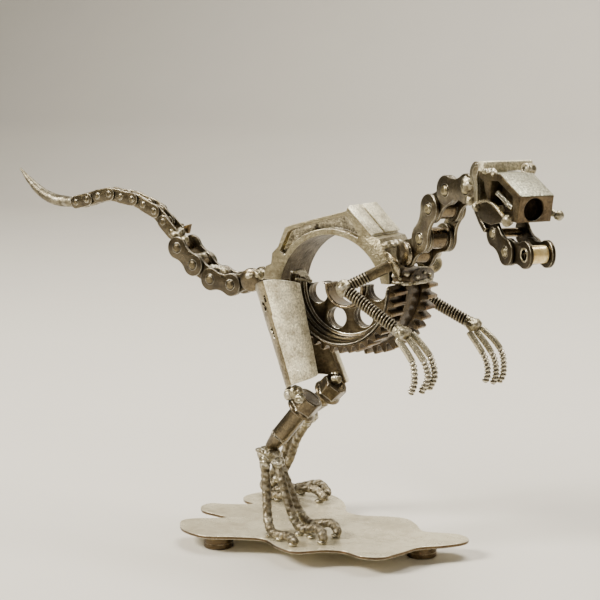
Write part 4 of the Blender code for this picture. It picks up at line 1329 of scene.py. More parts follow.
@dataclass(frozen=True)
class ToothedRing:
    """A cut piece of a toothed ring: the radii of its bore, roots and tips, and where it lies."""

    bore: float
    root: float
    tip: float
    teeth: int
    y: Flat
    angles: Flat
    chamfer: float

    def shape(self, centre: Point) -> Shape:
        """Makes the ring.

        Args:
            centre: the place of its axis, seen from the side.

        Returns:
            The shape, with its finishes.
        """
        start, end = self.angles
        pitch = 360.0 / self.teeth
        count = int((end - start) / pitch)
        first = start + ((end - start) - count * pitch) / 2
        root, tip = self.root, self.tip
        flank, valley = root + (tip - root) * 0.75, root + (tip - root) * 0.45
        tooth = ((0.08, root), (0.14, root + 0.2), (0.28, flank), (0.35, tip), (0.61, tip), (0.68, flank),
                 (0.82, root + 0.2), (0.90, root))
        outer = [polar(centre, radius, first + (number + share) * pitch)
                 for number in range(count) for share, radius in tooth]
        inner = arc(centre, self.bore, end, start, int((end - start) / 2.5))
        axis = Vector((centre[0], 0.0, centre[1]))
        loop = [polar(centre, root, start), *outer, polar(centre, root, end), *inner]
        # Faces below the teeth's flanks take the sooty finish, which is partly painted shade between the
        # teeth.
        return slab([loop], *self.y, self.chamfer).paint(
            GEAR, (GEAR_SOOT_AND_SHADE, lambda place, _: (place - axis).xz.length < valley))


@dataclass(frozen=True)
class Belly:
    """Half a dished wheel inside half a toothed ring, a drum, a second ring, and the collar on top."""

    centre: Point = (32.6, 128.3)
    radius: float = 27.1
    near: float = -18.2
    far: float = 12.0
    web: Flat = (-9.0, -6.4)
    cut_at: float = 129.4
    dish: tuple[Flat, ...] = (
        (12.3, 23.0), (9.0, 23.0), (8.6, 23.4), (8.3, 24.0), (6.0, 24.3), (5.6, 24.9), (5.2, 25.3),
        (3.2, 25.5), (2.8, 26.0), (2.4, 26.3), (0.3, 26.4), (0.0, 26.7))
    web_radius: float = 24.4
    rim_cut_at: float = 135.4
    rim_cut_to: float = 17.0
    rim_slope: tuple[Flat, Flat] = ((5.2, 136.2), (11.2, 128.2))
    holes: tuple[float, ...] = (-166.0, -110.0, -56.0, -2.0)
    hole_radius: float = 5.2
    hole_pitch: float = 16.5
    hub: Flat = (10.7, 8.9)
    hub_y: Flat = (-12.4, -2.5)
    near_ring: ToothedRing = ToothedRing(27.4, 28.4, 31.2, 38, (-17.5, -5.6), (-170.0, 6.0), 0.35)
    far_ring: ToothedRing = ToothedRing(26.4, 31.4, 35.3, 40, (8.0, 16.8), (-112.0, 6.0), 0.45)
    drum_radius: float = 30.4
    drum_bore: float = 26.4
    drum_angles: Flat = (-104.0, 6.0)
    drum_y: Flat = (-5.3, 7.7)
    collar_low: Point = (58.4, -11.5, 132.3)
    collar_high: Point = (68.6, 11.5, 138.9)
    collar_arch: float = 4.0
    rim_runs: tuple[tuple, ...] = (
        (((6.6, -16.4, 134.0), (6.7, -12.0, 134.2), (6.6, -7.6, 134.0)), 0.95, 4.0),
        (((9.3, -16.8, 130.8), (10.3, -13.0, 130.0), (11.9, -9.0, 129.4)), 1.0, 9.0))
    collar_runs: tuple[tuple, ...] = (
        (((59.0, -10.6, 132.3), (63.5, -11.6, 132.1), (67.6, -10.8, 132.3)), 1.3, 51.0),
        (((68.4, -8.0, 132.3), (68.8, 0.0, 132.1), (68.4, 8.0, 132.3)), 1.2, 67.0),
        (((57.6, -11.0, 140.0), (58.6, -7.0, 140.6), (58.2, -2.5, 141.0)), 2.0, 83.0),
        (((57.4, -13.6, 127.0), (57.4, -14.2, 121.0), (56.0, -13.4, 116.0)), 1.1, 91.0),
        (((54.4, -10.6, 149.2), (57.4, -9.4, 150.0), (60.6, -8.0, 150.2)), 2.3, 97.0))
    spatter: tuple[Point, ...] = (
        (59.6, -11.4, 135.4, 1.3), (63.0, -11.6, 134.4, 1.0), (66.4, -11.2, 136.6, 1.5),
        (68.7, -6.0, 135.0, 1.2), (68.8, 1.0, 136.4, 0.9), (68.6, 6.4, 134.4, 1.3), (61.6, -11.6, 138.0, 0.9))

    def on_axis(self, y: float) -> Vector:
        """A point of the belly's axis."""
        return Vector((self.centre[0], y, self.centre[1]))

    def halved(self, shape: Shape) -> Shape:
        """Cuts a part of the wheel off level, and leaves one end of the rim long and sloping.

        Args:
            shape: the part.

        Returns:
            What is left of it.
        """
        reach, near = self.radius + 6.0, self.near - 2.0
        x, top, past = self.centre[0], self.cut_at + 2 * reach, self.rim_cut_to + 1.0
        shape.cut(block((self.rim_cut_to, near, self.cut_at), (x + reach, self.far, top)))
        shape.cut(block((x - reach, near, self.rim_cut_at), (past, self.far, top)))
        (high_x, high), (foot_x, foot) = self.rim_slope
        slope = [(high_x, high), (past, high), (past, foot), (foot_x, foot)]
        return shape.cut(slab([slope], near, self.far, 0.0))

    def rim(self) -> Shape:
        """The deep rim, dished in two steps from a thin lip down to the web.

        Returns:
            The rim, with its finishes.
        """
        outer = self.radius
        loop = ((0.0, outer - 0.35), (0.35, outer), (12.0, outer), (12.3, outer - 0.4), *self.dish)
        foot = self.rim_slope[1][1] + 0.8
        ring = turned(loop, self.on_axis(self.near), self.on_axis(0.0), 144, closed=True)
        return self.halved(ring).paint(WHEEL, (GROUND, lambda place, normal: (
            normal.z > 0.45 and normal.x > -0.1 and place.z > foot)))

    def wheel(self) -> list[Shape]:
        """Rim, pierced web with deep hole collars, hub, and weld at the rim's torch-cut end.

        Returns:
            The wheel's shapes.
        """
        middles = [polar(self.centre, self.hole_pitch, turn) for turn in self.holes]
        holes = [circle(middle, self.hole_radius, 40) for middle in middles]
        bore = circle(self.centre, self.hub[1] + 0.4, 60)
        disc = slab([circle(self.centre, self.web_radius, 120), *holes, bore], *self.web, 0.55)
        collars = [tube(self.hole_radius + 1.0, self.hole_radius - 0.1, (x, self.web[0] + 0.4, z),
                        (x, self.web[1] + 3.4, z), 0.35, 40) for x, z in middles]
        hub = tube(*self.hub, *(self.on_axis(y) for y in self.hub_y), 0.5, 72)
        return [self.rim(), self.halved(disc), *(self.halved(collar) for collar in collars),
                self.halved(hub).paint(ROLLER), *painted(WELD, weld_metal(self.rim_runs))]

    def drum(self) -> Shape:
        """The piece of tube between the two gears.

        Returns:
            The drum.
        """
        outer = arc(self.centre, self.drum_radius, *self.drum_angles, 60)
        inner = arc(self.centre, self.drum_bore, *self.drum_angles[::-1], 60)
        return slab([outer + inner], *self.drum_y, 0.4)

    def collar(self) -> Shape:
        """The bracket over the drum that carries the neck and both shoulders.

        Returns:
            The bracket.
        """
        low, high = Vector(self.collar_low), Vector(self.collar_high)
        middle, half, thick = (low.y + high.y) / 2, (high.y - low.y) / 2, (high.x - low.x) / 2
        crown = [(middle + half * math.cos(t), high.z - self.collar_arch * (1.0 - math.sin(t)))
                 for t in (math.pi * i / 24 for i in range(25))]
        stand = Matrix(((0, 1, 0, (low.x + high.x) / 2), (-1, 0, 0, 0), (0, 0, 1, 0), (0, 0, 0, 1)))
        outline = [(-y, z) for y, z in [(low.y, low.z), (high.y, low.z), *crown]]
        return slab([outline], -thick, thick, 0.6).move(stand)

    def build(self) -> None:
        """Makes the wheel, both rings, the drum, the collar and the welds between them."""
        publish("dished_belly_wheel", Slot.DARK_WHEEL, WHEEL, self.wheel(), "belly_wheel")
        # The drum and the collar take the sooty finish, whose darkness is partly painted shade.
        for name, shape, node in (("toothed_right_ring", self.near_ring.shape(self.centre), "right_rib_gear"),
                                  ("toothed_left_ring", self.far_ring.shape(self.centre), "left_rib_gear"),
                                  ("drum_segment", self.drum(), "chest_drum"),
                                  ("arched_collar", self.collar(), "chest_collar")):
            publish(name, Slot.RUSTY_GEAR, GEAR_SOOT_AND_SHADE, [shape], node)
        drops = [((x, y, z), (size, size, size * 0.9), 3.0 * size + x, 0.25, 3)
                 for x, y, z, size in self.spatter]
        publish("collar_beads", Slot.WELD_BEAD, WELD, weld_metal(self.collar_runs, drops))


@dataclass(frozen=True)
class RollerChain:
    """A run of roller chain. Sizes are for its links, rises for each link's slope in degrees."""

    pitch: float
    height: float
    waist: float
    plate: float
    inside: float
    roller: float
    pin: float
    head: float
    start: Point
    yaw: float
    rises: tuple[float, ...]
    plate_finish: SteelFinish = CHAIN
    pin_finish: SteelFinish = RIVET

    @property
    def across(self) -> Vector:
        """The way its pins point, at right angles to its run."""
        return Vector((-math.sin(math.radians(self.yaw)), math.cos(math.radians(self.yaw)), 0.0))

    def joints(self) -> tuple[list[Vector], list[Matrix]]:
        """Joint places, and a frame at each link with X along it and Y along its pins.

        Returns:
            The places and the frames.
        """
        turn = math.radians(self.yaw)
        joints, frames = [Vector(self.start)], []
        for rise in self.rises:
            tilt = math.radians(rise)
            along = Vector((math.cos(turn) * math.cos(tilt), math.sin(turn) * math.cos(tilt), math.sin(tilt)))
            link_frame = Matrix((along, self.across, along.cross(self.across))).transposed().to_4x4()
            end = joints[-1] + along * self.pitch
            link_frame.translation = (joints[-1] + end) / 2
            frames.append(link_frame)
            joints.append(end)
        return joints, frames

    def outline(self, steps: int = 20) -> list[Flat]:
        """A plate: two round ends and a drawn-in waist.

        Args:
            steps: how many steps each round end has.

        Returns:
            The outline's points.
        """
        half, radius = self.pitch / 2, self.height / 2
        slack = 20.0 if self.waist < self.height * 0.9 else 0.0
        front = arc((half, 0.0), radius, -90.0 - slack, 90.0 + slack, steps)
        back = arc((-half, 0.0), radius, 90.0 - slack, 270.0 + slack, steps)
        if not slack:
            return front + back
        x, z = front[-1]
        shares = [1.0 - i / 6 for i in range(1, 12)]
        dip = [(x * s, self.waist / 2 + (z - self.waist / 2) * s * s) for s in shares]
        return [*front, *dip, *back, *[(-a, -b) for a, b in dip]]

    def plates(self, inner: bool, bored: tuple[int, ...] = ()) -> list[Shape]:
        """Both side plates of a link.

        Args:
            inner: they lie inside the outer links' plates.
            bored: the ends, -1 or 1, at which they are bored open.

        Returns:
            The plates, with their finish.
        """
        middle = self.inside / 2 + self.plate / 2 + (0.0 if inner else self.plate + GAP)
        loops = [self.outline(), *(circle((s * self.pitch / 2, 0.0), self.pin + GAP, 28) for s in bored)]
        rounding = min(0.34, self.plate * 0.3)
        return painted(self.plate_finish, [
            slab(loops, s * middle - self.plate / 2, s * middle + self.plate / 2, rounding) for s in (-1, 1)])

    def span(self, x: float, start: float, end: float) -> tuple[Point, Point]:
        """Both ends of a line across the link."""
        return (x, start, 0.0), (x, end, 0.0)

    def rivet(self, x: float, way: int) -> Shape:
        """A riveted pin head with its washer mark.

        Args:
            x: its place along the link.
            way: the side that it is on, -1 or 1.

        Returns:
            The head, with its finish.
        """
        face = self.inside / 2 + 2 * self.plate + GAP
        rise = max(self.head, 0.45)
        radius = self.pin * 0.95 if self.head else self.pin * 1.14
        profile = ((0.0, radius + 0.1), (0.55, radius + 0.1), (0.6, radius - 0.05),
                   (0.5 + rise * 0.6, radius - 0.08), (0.5 + rise * 0.9, radius * 0.84),
                   (0.5 + rise, radius * 0.6), (0.5 + rise, radius * 0.3), (0.5 + rise * 0.9, radius * 0.1))
        axis = self.span(x, way * (face - 0.5), way * (face + 5.0))
        return turned(profile, *axis, 32).paint(self.pin_finish)

    def rivet_shade_ring(self, x: float, way: int) -> Shape:
        """A thin ring of painted shade round a pin head, where it meets its plate.

        Args:
            x: its place along the link.
            way: the side that it is on, -1 or 1.

        Returns:
            The line, with its finish.
        """
        face = self.inside / 2 + 2 * self.plate + GAP
        line = self.span(x, way * (face - 0.3), way * (face + 0.07))
        return tube(self.pin * 1.16 + 0.12, self.pin * 0.9, *line, 0.03, 32).paint(HOLLOW_SHADE)

    def outer_link(self) -> list[Shape]:
        """Two outer plates with their riveted pins.

        Returns:
            The shapes, with their finishes.
        """
        shapes = self.plates(False)
        reach = self.inside / 2 + self.plate
        for x in (-self.pitch / 2, self.pitch / 2):
            shapes += [head(x, way) for head in (self.rivet, self.rivet_shade_ring) for way in (-1, 1)]
            pin = tube(self.pin, self.pin * 0.4, *self.span(x, -reach, reach), 0.1, 20)
            shapes.append(pin.paint(ROLLER))
        return shapes

    def inner_link(self, bored: tuple[int, ...] = ()) -> list[Shape]:
        """Two inner plates with a bushing and a roller at each end.

        Args:
            bored: the ends, -1 or 1, at which the link is bored open.

        Returns:
            The shapes, with their finishes.
        """
        shapes = self.plates(True, bored)
        reach, flush = self.inside / 2 - 0.15, self.inside / 2 + self.plate + 0.12
        for end in (-1, 1):
            x = end * self.pitch / 2
            inner = self.pin + GAP if end in bored else self.pin + 0.05
            shapes.append(tube(self.roller, inner, *self.span(x, -reach, reach), 0.4, 40).paint(ROLLER))
            bushes = [tube(self.pin + 1.0, inner, *self.span(x, way * (reach - 0.2), way * flush), 0.18, 28)
                      for way in (-1, 1)]
            shapes += painted(self.pin_finish, bushes)
        return shapes

    def publish_links(self, piece: str, node: str) -> None:
        """Publishes the run link by link: inner and outer ones take turns.

        Args:
            piece: the pieces' name up to the number.
            node: the solids' name up to the number.
        """
        for number, link_frame in enumerate(self.joints()[1]):
            link = self.outer_link() if number % 2 else self.inner_link()
            link = [shape.move(link_frame) for shape in link]
            publish(f"{piece}_{number + 1}", Slot.CHAIN_STEEL, CHAIN, link, f"{node}_{number + 1}")

    def stud(self, radius: float, near: float, far: float) -> list[Shape]:
        """A bolt through the chain's first joint, its round head on the animal's right.

        Args:
            radius: the head's radius.
            near: where the head's face lies across the chain.
            far: where the bolt ends.

        Returns:
            The shapes.
        """
        place = self.joints()[0][0]
        side = self.across if self.across.y >= 0.0 else -self.across
        back = -(self.inside / 2 + self.plate + GAP)
        thick, long = back - near, far - back
        head = turned(((0.0, radius * 0.35), (0.15, radius * 0.62), (0.5, radius * 0.9), (0.9, radius),
                       (thick - 0.4, radius), (thick, radius * 0.9)), place + side * near, place, 44)
        pin = turned(((0.0, self.pin), (long, self.pin), (long + 0.4, self.pin * 0.8)),
                     place + side * back, place + side * far, 28)
        washer = tube(radius + 0.35, self.pin, place + side * (back - 0.75), place + side * back, 0.25, 44)
        return [head, pin, washer.paint(ROLLER)]


@dataclass(frozen=True)
class Tail:
    """Large chain, small chain and a cast horn for a tip, with scraps stuck along it."""

    large: RollerChain
    small: RollerChain
    root: Point = (5.6, -8.4, 7.0)
    tip: tuple[Point, ...] = (
        (-143.7, -1.0, 160.0), (-153.9, -1.0, 160.4), (-161.0, -1.0, 161.9), (-168.1, -1.0, 165.1),
        (-175.2, -1.0, 170.4), (-182.4, -1.0, 177.2))
    tip_radii: tuple[float, ...] = (2.7, 2.85, 2.6, 2.2, 1.5, 0.4)
    tip_swell: float = 0.16
    nut_at: Point = (-78.6, 5.4, 148.8)
    nut_size: float = 5.0
    nut_bore: float = 1.2
    spur: tuple[Point, ...] = ((-74.9, 150.2), (-70.4, 151.6), (-71.8, 146.4), (-75.4, 147.2))
    spur_y: Flat = (4.2, 6.4)
    root_lumps: tuple[tuple, ...] = (
        ((-16.2, -1.0, 130.8), (3.1, 6.2, 3.1), 12.0, 0.55),
        ((-24.4, -7.2, 129.4), (3.6, 2.6, 2.6), 14.0, 0.5),
        ((-19.6, -6.6, 130.2), (3.2, 2.7, 2.8), 15.0, 0.5))
    runs: tuple[tuple, ...] = (
        (((-72.6, -5.4, 146.6), (-73.4, -1.6, 147.6), (-74.6, 2.2, 148.2)), 2.3, 21.0),
        (((-144.4, -2.6, 160.4), (-143.6, -0.8, 162.0), (-144.4, 1.2, 160.6)), 1.2, 23.0),
        (((-40.4, -6.2, 130.2), (-45.0, -5.0, 131.4), (-49.0, -6.0, 131.6)), 1.7, 25.0))
    lumps: tuple[tuple, ...] = (
        ((-57.4, -3.0, 136.6), (2.6, 2.4, 1.7), 26.0, 0.4, 4),
        ((-66.8, -5.4, 144.6), (2.6, 1.6, 2.0), 27.0, 0.4, 4))

    def horn(self) -> Shape:
        """The tapering tip.

        Returns:
            The horn.
        """
        path = even_path(self.tip, 0.6)
        length = distances(path)[-1]

        def profile(distance: float, turn: float) -> Flat:
            """Radius and relief of the horn at a place.

            Args:
                distance: how far along the horn.
                turn: how far round it.

            Returns:
                Both values.
            """
            uneven = noise.noise(Vector((math.cos(turn), math.sin(turn), distance / 3.0)))
            swell = 1.0 + self.tip_swell * math.sin(math.pi * distance / length)
            return between(self.tip_radii, distance / length) * (swell + 0.05 * uneven), uneven * 0.45
        return sweep(path, profile, 28, 1.2)

    def small_links(self) -> None:
        """The small chain, each outer link rusted fast to the inner one behind it."""
        frames = [*self.small.joints()[1], None]
        for number, (outer, inner) in enumerate(zip(frames[::2], frames[1::2]), 1):
            shapes = [shape.move(outer) for shape in self.small.outer_link()]
            if inner is not None:
                shapes += [shape.move(inner) for shape in self.small.inner_link()]
            publish(f"small_chain_link_{number}", Slot.CHAIN_STEEL, CHAIN, shapes,
                    f"tail_small_link_{number}")

    def nut(self) -> Shape:
        """The stray square nut.

        Returns:
            The nut.
        """
        half = Vector((self.nut_size / 2, self.nut_size * 0.3, self.nut_size / 2))
        middle, before = Vector(self.nut_at), Vector((0.0, 5.0, 0.0))
        nut = block(middle - half, middle + half)
        drill = turned(((0.0, self.nut_bore), (10.0, self.nut_bore)), middle - before, middle, 24)
        return nut.cut(drill).round(0.35)

    def build(self) -> None:
        """Makes the tail."""
        publish("domed_tail_root", Slot.BOLT_STEEL, BOLT, self.large.stud(*self.root), "tail_root_stud")
        publish("tail_root_bead", Slot.WELD_BEAD, WELD, weld_metal((), self.root_lumps), "tail_root_weld")
        self.large.publish_links("large_chain_link", "tail_large_link")
        self.small_links()
        publish("cast_tail_horn", Slot.GROUND_STEEL, HORN, [self.horn()], "tail_tip")
        publish("square_tail_nut", Slot.BOLT_STEEL, BOLT, [self.nut()], "tail_nut")
        publish("torn_tail_spur", Slot.RUSTY_GEAR, GEAR, [slab([self.spur], *self.spur_y, 0.3)], "tail_spur")
        publish("tail_beads", Slot.WELD_BEAD, WELD, weld_metal(self.runs, self.lumps))


@dataclass(frozen=True)
class Neck:
    """Four links of the largest chain between the collar and the skull."""

    chain: RollerChain
    root: Point = (5.5, -9.2, 9.4)
    far_way: Point = (0.469, 0.883, 0.0)
    far_reach: float = 9.6
    far_radii: Point = (3.4, 2.4, 3.4)

    def build(self) -> None:
        """Makes the neck."""
        place = self.chain.joints()[0][0] + Vector(self.far_way) * self.far_reach
        lump = bead(place, self.far_radii, 33.0, 0.3, 4).paint(ROD)
        publish("domed_neck_root", Slot.BOLT_STEEL, BOLT, [*self.chain.stud(*self.root), lump],
                "neck_root_stud")
        self.chain.publish_links("neck_chain_link", "neck_link")


@dataclass(frozen=True)
class Head:
    """Skull plate, brow bar, snout casting, cheek plate, eye and jaw, in the head's own frame."""

    jaw: RollerChain
    origin: Point = (104.5, -23.5, 178.0)
    yaw: float = -30.0
    half: float = 9.0
    wall: float = 2.2
    skull: tuple[Point, ...] = (
        (19.0, 12.6), (16.6, 12.2), (14.6, 10.2), (14.2, 7.4), (16.4, 3.2), (17.6, -1.0), (18.4, -9.0))
    skull_front: tuple[Point, ...] = (
        (21.6, 12.9), (20.9, 11.2), (19.6, 9.6), (18.6, 7.2), (19.2, 3.2), (19.4, -1.0), (19.6, -9.0))
    brow: tuple[Point, Point] = ((19.3, -9.0, 9.4), (23.7, 16.5, 13.8))
    snout_half: float = 8.6
    snout_side: tuple[Point, ...] = (
        (20.2, 9.1), (35.4, 9.1), (50.6, 0.8), (48.4, -10.4), (31.0, -8.8), (24.0, 2.0), (23.6, 5.2),
        (20.2, 6.4))
    pocket: tuple[Point, ...] = ((28.6, -7.0), (28.6, 6.0), (34.0, 6.0), (45.0, 0.4), (45.0, -7.6))
    pocket_depth: float = 6.5
    nostril: Point = (49.5, -0.8, -4.9)
    nostril_radius: float = 4.7
    nostril_depth: float = 4.2
    stub: tuple[Point, Point] = ((43.0, 7.0, -5.2), (48.6, 12.4, -8.0))
    stub_radius: float = 1.9
    stub_weld: Point = (2.2, 2.2, 2.2)
    pin: tuple[Point, Point] = ((31.5, -6.4, 1.0), (43.2, -6.4, -4.8))
    pin_profile: tuple[Flat, ...] = ((0.0, 1.2), (0.3, 1.6), (12.8, 1.6), (13.1, 1.2))
    cheek: tuple[Point, ...] = (
        (20.2, -5.2), (23.0, -3.2), (28.0, -2.4), (33.6, -3.8), (38.6, -6.8), (43.6, -9.8))
    cheek_fan: tuple[Point, ...] = ((38.0, -11.0), (31.0, -12.4), (24.0, -11.6), (20.8, -9.4))
    cheek_wall: float = 1.1
    cheek_thick: float = 1.7
    eye: Point = (27.0, 12.4, 10.0)
    eye_radii: Point = (2.9, 2.7, 2.9)
    eye_ring: Flat = (2.5, 1.1)
    eye_ring_ends: tuple[Point, Point] = ((0.6, -1.9, 0.4), (0.9, -3.2, 0.6))
    roller: Flat = (3.8, 3.2)
    strap: tuple[Point, ...] = ((18.0, -6.6), (20.2, -9.4), (22.6, -12.4), (26.0, -15.4))
    strap_y: Flat = (-9.4, -5.2)
    strap_wide: float = 2.6
    runs: tuple[tuple, ...] = (
        (((24.6, -8.2, 9.6), (26.0, -7.0, 10.0), (28.4, -6.6, 9.4), (30.0, -7.4, 8.6)), 1.7, 61.0),)
    lumps: tuple[tuple, ...] = (
        ((20.4, -10.0, -5.6), (2.0, 1.8, 2.0), 75.0, 0.4, 4),
        ((43.0, -9.6, -9.6), (2.7, 2.2, 2.6), 77.0, 0.5, 4), ((9.4, -7.0, 3.0), (4.0, 3.3, 3.6), 79.0, 0.7),
        ((11.8, -7.4, -3.4), (2.6, 2.4, 2.6), 81.0, 0.5),
        ((12.2, -4.8, 4.6), (3.0, 2.6, 2.6), 83.0, 0.5))

    def wear(self, name: str, slot: Slot, finish: SteelFinish, shapes: Iterable[Shape], *nodes: str) -> None:
        """Publishes a piece that was made in the head's frame, with publish()'s own arguments."""
        place = Matrix.Translation(Vector(self.origin)) @ Matrix.Rotation(math.radians(self.yaw), 4, "Z")
        publish(name, slot, finish, [shape.move(place) for shape in shapes], *nodes)

    def skull_plate(self) -> list[Shape]:
        """The bent plate, with a flange along its near edge.

        Returns:
            The plate and the flange.
        """
        rear, front = ([tuple(p) for p in curve_through(line, 8)] for line in (self.skull, self.skull_front))
        return [slab([strip(curve_through(self.skull, 8), self.wall)], -self.half, self.half, 0.45),
                slab([rear + front[::-1]], -self.half, 1.5 - self.half, 0.4)]

    def snout(self) -> list[Shape]:
        """The casting: slanting top, side pocket, drilled nose and a stub on its left.

        Returns:
            The casting, the stub and the weld on it.
        """
        body = slab([self.snout_side], -self.snout_half, self.snout_half, 0.0)
        inner = -self.snout_half + self.pocket_depth
        body.cut(slab([self.pocket], -self.snout_half - 2.0, inner, 0.0))
        nose, radius = Vector(self.nostril), self.nostril_radius
        ahead = nose + Vector((1.0, 0.0, 0.0))
        drill = turned(((-self.nostril_depth, radius), (4.0, radius)), nose, ahead, 48)
        # The nose bore's inside is painted near black as shade, the upward faces get a lighter grainy finish
        # as painted light, the front face a darker one as painted shade, and the rest the shaded cast finish.
        body.cut(drill).round(0.5, 3).paint(
            SHADED_CAST,
            (HOLLOW_SHADE, lambda place, _: (place - nose).yz.length < radius + 0.1 and 45.0 < place.x < 49.0),
            (SNOUT_TOP_GRAIN_AND_LIGHT, lambda place, normal: normal.z > 0.35 and place.y > inner + 0.3),
            (SHADED_SNOUT_FACE, lambda place, normal: normal.x > 0.8 and place.x > 46.0))
        stub = sweep(even_path(self.stub, 0.5), ribbed(self.stub_radius, 8.0, 3.0), 18, 0.5)
        return [body, stub, bead(self.stub[1], self.stub_weld, 41.0, 0.35, 4)]

    def cheek_plate(self) -> list[Shape]:
        """The bent strip beside the snout, with the thin sheet that it edges.

        Returns:
            The strip and the sheet.
        """
        near = -self.snout_half - GAP
        line = curve_through(self.cheek, 6)
        fan = [*(tuple(p) for p in line), *self.cheek_fan]
        # The thin sheet is painted dark as the snout's shadow.
        return [slab([strip(line, self.cheek_wall)], near - self.cheek_thick, near, 0.3),
                slab([fan], near - 0.75, near - 0.05, 0.15).paint(SHADOWED_CHAIN)]

    def eye_nut(self) -> list[Shape]:
        """The eye: a lump of weld with a ring in it.

        Returns:
            The lump and the ring.
        """
        start, end = (Vector(self.eye) + Vector(end) for end in self.eye_ring_ends)
        ring = tube(*self.eye_ring, start, end, 0.3, 30)
        return [bead(self.eye, self.eye_radii, 43.0, 0.4), ring]

    def build(self) -> None:
        """Makes the head."""
        self.wear("bent_skull_plate", Slot.GROUND_STEEL, CAST, self.skull_plate(), "skull_plate")
        self.wear("brow_square_bar", Slot.GROUND_STEEL, GROUND, [block(*self.brow).round(0.6, 3)], "brow_bar")
        self.wear("cast_snout", Slot.GROUND_STEEL, WELD, self.snout(), "snout_block")
        pin = turned(self.pin_profile, *self.pin)
        self.wear("polished_snout_pin", Slot.BRIGHT_ROD, POLISHED, [pin], "snout_pin")
        self.wear("edged_cheek", Slot.CHAIN_STEEL, ROD, self.cheek_plate(), "cheek_plate")
        self.wear("beaded_eye", Slot.WELD_BEAD, WELD, self.eye_nut(), "eye_nut")
        joints, (first, second) = self.jaw.joints()
        outer = (shape.move(first) for shape in self.jaw.outer_link())
        self.wear("jaw_outer_plates", Slot.CHAIN_STEEL, CHAIN, outer, "jaw_outer_link")
        inner = (shape.move(second) for shape in self.jaw.inner_link((1,)))
        self.wear("jaw_inner_plates", Slot.CHAIN_STEEL, CHAIN, inner, "jaw_inner_link")
        side = self.jaw.across * (self.jaw.inside / 2 - GAP)
        roller = tube(*self.roller, joints[-1] - side, joints[-1] + side, 0.3, 48)
        self.wear("brassy_jaw_roller", Slot.HEAT_TINTED, BRASSY, [roller], "jaw_roller")
        # The strap is painted dark as the snout's shadow.
        strap = slab([strip(curve_through(self.strap, 6), self.strap_wide)], *self.strap_y, 0.5)
        self.wear("head_beads", Slot.WELD_BEAD, WELD, [*weld_metal(self.runs, self.lumps),
                                                       strap.paint(SHADOWED_CHAIN)])


@dataclass(frozen=True)
class Arm:
    """A domed bolt for an upper arm, a threaded rod below it, and three bent rods for a hand."""

    side: Side
    shoulder: Point
    elbow: Point
    wrist: Point
    weld: Point
    fingers: tuple[tuple[str, tuple[Point, ...]], ...]
    radius: float = 2.8
    rod_radius: float = 3.0
    pitch: float = 1.55
    finger_radius: float = 1.45
    finger_pitch: float = 1.85
    dome: tuple[Flat, ...] = (
        (-2.0, 0.6), (-1.9, 2.2), (-1.5, 3.9), (-0.7, 5.5), (0.2, 6.35), (0.8, 6.3), (1.5, 5.4), (1.7, 3.0))
    elbow_weld: Point = (3.7, 3.9, 4.1)
    wrist_weld: Point = (3.5, 4.9, 3.2)
    wrist_run: Point = (2.6, 3.5, 3.0)
    wrist_run_shift: Point = (-2.4, 0.0, 1.2)

    def upper(self) -> list[Shape]:
        """The domed head with the shank, threaded towards the elbow.

        Returns:
            The shank and the head.
        """
        shoulder, elbow = Vector(self.shoulder), Vector(self.elbow)
        length = (elbow - shoulder).length
        bar = sweep(even_path((shoulder, elbow), self.pitch / 9, 4),
                    thread(self.radius, 0.55, 1.45, length * 0.52, length), 26)
        dome = turned(self.dome, shoulder, shoulder + (elbow - shoulder).normalized(), 52)
        return [bar.paint(THREAD), dome.paint(ROD)]

    def lower(self) -> list[Shape]:
        """The threaded rod with the elbow's and the wrist's welds.

        Returns:
            The rod and the welds.
        """
        elbow, wrist = Vector(self.elbow), Vector(self.wrist)
        rod = sweep(even_path((elbow, wrist), self.pitch / 9, 4),
                    thread(self.rod_radius, 0.75, self.pitch, 0.0, (wrist - elbow).length), 28)
        seed = 90.0 + 5.0 * self.side.value
        beside = Vector(self.weld) + Vector(self.wrist_run_shift)
        lumps = ((elbow, self.elbow_weld, seed, 0.55), (self.weld, self.wrist_weld, seed + 1.0, 0.6),
                 (beside, self.wrist_run, seed + 2.0, 0.5, 4))
        return [rod.paint(THREAD), *painted(WELD, weld_metal((), lumps))]

    def finger(self, points: tuple[Point, ...]) -> Shape:
        """A rod that is smooth above and threaded below.

        Args:
            points: the places that it passes.

        Returns:
            The rod.
        """
        path = even_path(points, self.finger_pitch / 14)
        length = distances(path)[-1]
        ribs = thread(self.finger_radius * 1.16, 0.68, self.finger_pitch, length * 0.44, length)
        return sweep(path, ribs, 22, 0.7)

    def build(self) -> None:
        """Makes the arm."""
        word = self.side.word
        publish(f"domed_{word}_shoulder", Slot.BOLT_STEEL, BOLT, self.upper(), f"{word}_shoulder_bolt")
        publish(f"threaded_{word}_forearm", Slot.BOLT_STEEL, BOLT, self.lower(), f"{word}_forearm")
        for name, points in self.fingers:
            publish(f"threaded_{name}", Slot.BRIGHT_ROD, FINGER, [self.finger(points)], name)


def aimed(name: str, data: bpy.types.ID, place: Point, target: Point) -> bpy.types.Object:
    """Stands a lamp or the camera so that it looks at a target.

    Args:
        name: its name.
        data: the lamp's or the camera's data.
        place: where it stands, in metres.
        target: what it looks at.

    Returns:
        The object.
    """
    thing = linked(name, data)
    thing.location = place
    thing.rotation_euler = (Vector(target) - Vector(place)).to_track_quat("-Z", "Y").to_euler()
    return thing


@dataclass(frozen=True)
class Lamp:
    """A soft rectangular light that faces a target, by default the object."""

    name: str
    place: Point
    size: Flat
    power: float
    colour: Colour
    target: Point = (0.0, 0.0, 0.118)

    def build(self) -> None:
        """Hangs the lamp."""
        data = bpy.data.lights.new(self.name, "AREA")
        data.shape = "RECTANGLE"
        data.size, data.size_y = self.size
        data.energy = self.power
        data.color = self.colour
        aimed(self.name, data, self.place, self.target)


